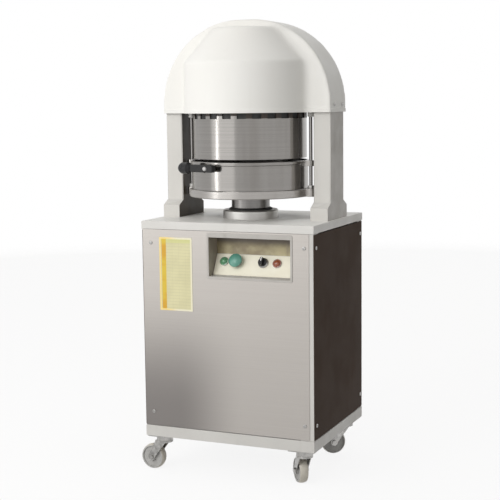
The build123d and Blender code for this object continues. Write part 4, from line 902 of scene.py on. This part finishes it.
def modelHood():
    low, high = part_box(hoodLook["node"])
    foot = low.z - hoodLook["spare"]
    coverMiddle = (low.y + high.y) / 2
    coverRadius = (high.y - low.y) / 2
    creaseHeight = low.z + hoodLook["crease"]
    coneTop = high.z - hoodLook["coneDrop"]
    clearSelection()
    bpy.ops.mesh.primitive_cube_add(size=1, location=(0, hoodLook["archMiddle"], (foot + high.z) / 2))
    arch = bpy.context.object
    arch.scale = (high.x - low.x, hoodLook["archDepth"], high.z - foot)
    settle(arch)
    pickEdges(
        arch,
        lambda first, second: min(first.z, second.z) > high.z - hoodLook["nearby"]
        and abs(first.x - second.x) < hoodLook["nearby"],
    )
    bpy.ops.mesh.bevel(offset=hoodLook["archCorner"], segments=hoodLook["archSteps"], affect="EDGES")
    clearSelection()
    bpy.ops.mesh.primitive_cylinder_add(
        vertices=hoodLook["coverSides"], radius=coverRadius, depth=creaseHeight - foot,
        location=(0, coverMiddle, (foot + creaseHeight) / 2),
    )
    cover = bpy.context.object
    settle(cover)
    pickFaces(cover, lambda centre, normal: normal.z > facing)
    bpy.ops.mesh.extrude_region_move(TRANSFORM_OT_translate={"value": (0, 0, coneTop - creaseHeight)})
    share = hoodLook["coneRadius"] / coverRadius
    bpy.ops.transform.resize(value=(share, share, 1), center_override=(0, coverMiddle, coneTop))
    clearSelection()
    skin = joinPieces([arch, cover], hoodLook["piece"])
    applyModifier(skin, "REMESH", mode="VOXEL", voxel_size=hoodLook["voxel"], adaptivity=0.0)

    def radiusAt(height):
        above = max(0.0, height - creaseHeight) / (coneTop - creaseHeight)
        return coverRadius + (hoodLook["coneRadius"] - coverRadius) * min(1.0, above)

    # Points near the corner between the flat arch and the round cover are smoothed most
    blend = skin.vertex_groups.new(name="blend")
    for point in skin.data.vertices:
        place = point.co
        toFlat = abs(abs(place.y - hoodLook["archMiddle"]) - hoodLook["archDepth"] / 2)
        toRound = abs(math.hypot(place.x, place.y - coverMiddle) - radiusAt(place.z))
        nearness = 1 - max(toFlat, toRound) / hoodLook["blendReach"]
        if nearness > 0 and place.z < coneTop:
            blend.add([point.index], nearness * nearness * (3 - 2 * nearness), "REPLACE")
    easing = hoodLook["easing"]
    applyModifier(skin, "SMOOTH", factor=easing, iterations=hoodLook["blendPasses"], vertex_group=blend.name)
    applyModifier(skin, "SMOOTH", factor=easing, iterations=hoodLook["edgePasses"])
    skin.vertex_groups.clear()
    for height, inner in ((low.z, True), (low.z + hoodLook["hem"], False)):
        editAll(skin)
        bpy.ops.mesh.bisect(plane_co=(0, 0, height), plane_no=(0, 0, 1), clear_inner=inner)
    pickFaces(skin, lambda centre, normal: centre.z < low.z + hoodLook["hem"])
    bpy.ops.mesh.inset(thickness=hoodLook["hemRound"], depth=hoodLook["hemRise"], use_boundary=False)
    clearSelection()
    applyModifier(skin, "SOLIDIFY", thickness=hoodLook["wall"], offset=-1.0, use_even_offset=True)
    smoothShade(skin, hoodLook["angle"])
    return fitOut(skin, hoodLook["node"], hoodLook["finish"])


hoodSkin = modelHood()
print("hood made:", len(hoodSkin.data.polygons), "faces")

# Power unit
oilTank = {"node": "oil_tank", "round": 0.0008, "finish": tankPaint}
tankLid = {"node": "tank_lid", "round": 0.0008, "finish": tankPaint}
pumpMotor = {"node": "pump_motor", "round": 0.0006, "finish": motorPaint}
valveBlock = {"node": "valve_block", "round": 0.001, "finish": blockSteel}
pressurePipe = {"node": "pressure_pipe", "round": 0.0004, "finish": blockSteel}
electricBox = {"node": "electric_box", "round": 0.0006, "finish": boxGrey}
for look in (oilTank, tankLid, pumpMotor, valveBlock, pressurePipe, electricBox):
    dressCopy(look)
print("power unit dressed")

# Casters
casterPlates = {"node": "caster_plates", "round": 0.0007, "finish": zincSteel}
casterFork = {"round": 0.0007, "finish": forkSteel}
casterWheel = {"round": 0.0012, "segments": 3, "finish": wheelGrey, "treadFrom": 0.86, "sideways": 0.8}
dressCopy(casterPlates)
for corner in ("front_left", "front_right", "back_left", "back_right"):
    dressCopy({**casterFork, "node": f"{corner}_fork"})
    wheel = dressCopy({**casterWheel, "node": f"{corner}_wheel"})
    low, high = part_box(f"{corner}_wheel")
    hub = (low + high) / 2
    tread = casterWheel["treadFrom"] * (high.z - low.z) / 2
    axle = Vector(jointNamed(f"{corner}_spin")["axis"]).normalized()
    paintFaces(
        wheel, treadBeige,
        lambda centre, normal: abs(normal.dot(axle)) < casterWheel["sideways"]
        and (centre - hub - axle * (centre - hub).dot(axle)).length > tread,
    )
print("casters dressed")

# Floor: it fades out far away, and shows itself on the backdrop only faintly, to keep the shadow
floorLook = {
    "piece": "studioFloor", "radius": 7.0, "sides": 96, "sink": 0.0003, "pale": (0.66, 0.66, 0.65),
    "shade": (0.63, 0.63, 0.62), "white": (0.97, 0.97, 0.965), "patch": 1.6, "rough": 0.7, "fadeSpan": (2.4, 6.0),
    "seen": 0.12,
}
clearSelection()
bpy.ops.mesh.primitive_circle_add(
    vertices=floorLook["sides"], radius=floorLook["radius"], fill_type="NGON", location=(0, 0, -floorLook["sink"])
)
floor = bpy.context.object
floor.name = floorLook["piece"]
settle(floor)
floorFinish, tree, shader = newFinish(floorLook["piece"])
points = objectPoints(tree)
shown = backdropRays(tree)
patches = spread(tree, cloud(tree, points, floorLook["patch"], 4.0), *softSpan)
cloudy = mixColours(tree, patches, floorLook["pale"], floorLook["shade"])
tree.links.new(mixColours(tree, shown, cloudy, floorLook["white"]), shader.inputs["Base Color"])
shader.inputs["Roughness"].default_value = floorLook["rough"]
distance = tree.nodes.new("ShaderNodeVectorMath")
distance.operation = "LENGTH"
tree.links.new(points, distance.inputs[0])
clear = tree.nodes.new("ShaderNodeBsdfTransparent")
fade = tree.nodes.new("ShaderNodeMixShader")
away = spread(tree, distance.outputs["Value"], *floorLook["fadeSpan"])
whitened = figure(tree, "MULTIPLY", shown, 1 - floorLook["seen"])
tree.links.new(figure(tree, "MAXIMUM", away, whitened), fade.inputs[0])
tree.links.new(shader.outputs[0], fade.inputs[1])
tree.links.new(clear.outputs[0], fade.inputs[2])
tree.links.new(fade.outputs[0], tree.nodes["Material Output"].inputs["Surface"])
floor.data.materials.append(floorFinish)
print("floor laid")

# Studio: a plain pale room, brighter at the front left than at the back right, and a white backdrop
roomLook = {
    "bright": (0.62, 0.61, 0.60), "dim": (0.15, 0.148, 0.145), "brightSide": (-0.8, -0.6, 0.0),
    "ceiling": (0.725, 0.72, 0.71), "ceilingSpan": (0.4, 0.75), "backdrop": (1.0, 1.0, 1.0),
}
world = bpy.data.worlds.new("paleRoom")
bpy.context.scene.world = world
world.use_nodes = True
tree = world.node_tree
looking = tree.nodes.new("ShaderNodeTexCoord").outputs["Generated"]
towards = tree.nodes.new("ShaderNodeVectorMath")
towards.operation = "DOT_PRODUCT"
towards.inputs[1].default_value = roomLook["brightSide"]
tree.links.new(looking, towards.inputs[0])
walls = mixColours(tree, spread(tree, towards.outputs["Value"], -1.0, 1.0), roomLook["dim"], roomLook["bright"])
split = tree.nodes.new("ShaderNodeSeparateXYZ")
tree.links.new(looking, split.inputs[0])
room = mixColours(tree, spread(tree, split.outputs["Z"], *roomLook["ceilingSpan"]), walls, roomLook["ceiling"])
seen = mixColours(tree, backdropRays(tree), room, roomLook["backdrop"])
tree.links.new(seen, tree.nodes["Background"].inputs["Color"])

lampSet = {
    "keyLamp": {"place": (-1.0, -3.3, 2.4), "aim": (0, 0, 0.75), "size": (1.8, 1.8), "power": 44.0},
    "stripLamp": {"place": (-2.15, -2.22, 1.15), "aim": (0, 0, 0.95), "size": (0.16, 1.7), "power": 7.0},
    "softLamp": {"place": (-1.7, -2.7, 0.95), "aim": (0, 0, 0.95), "size": (3.0, 1.7), "power": 11.0},
    "fillLamp": {"place": (2.0, -3.0, 1.9), "aim": (0, 0, 0.7), "size": (1.8, 1.8), "power": 2.0},
}
for name, lamp in lampSet.items():
    light = bpy.data.lights.new(name, "AREA")
    light.shape = "RECTANGLE"
    light.size, light.size_y = lamp["size"]
    light.energy = lamp["power"]
    stand = bpy.data.objects.new(name, light)
    bpy.context.scene.collection.objects.link(stand)
    stand.location = lamp["place"]
    stand.rotation_mode = "QUATERNION"
    stand.rotation_quaternion = (Vector(lamp["aim"]) - Vector(lamp["place"])).to_track_quat("-Z", "Y")
print("studio lit")

# Camera where the photograph was taken from
cameraLook = {
    "place": (1.3655, -3.2173, 1.0740), "yaw": 23.24, "pitch": -7.0, "roll": -0.665, "lens": 85.2, "sensor": 36.0,
}
cameraData = bpy.data.cameras.new("photoCamera")
cameraData.lens = cameraLook["lens"]
cameraData.sensor_width = cameraLook["sensor"]
camera = bpy.data.objects.new("photoCamera", cameraData)
bpy.context.scene.collection.objects.link(camera)
camera.location = cameraLook["place"]
camera.rotation_mode = "QUATERNION"
aimed = Euler((math.radians(90 + cameraLook["pitch"]), 0, math.radians(cameraLook["yaw"]))).to_quaternion()
camera.rotation_quaternion = aimed @ Quaternion((0, 0, 1), math.radians(cameraLook["roll"]))
bpy.context.scene.camera = camera
bpy.context.scene.view_settings.view_transform = "Standard"
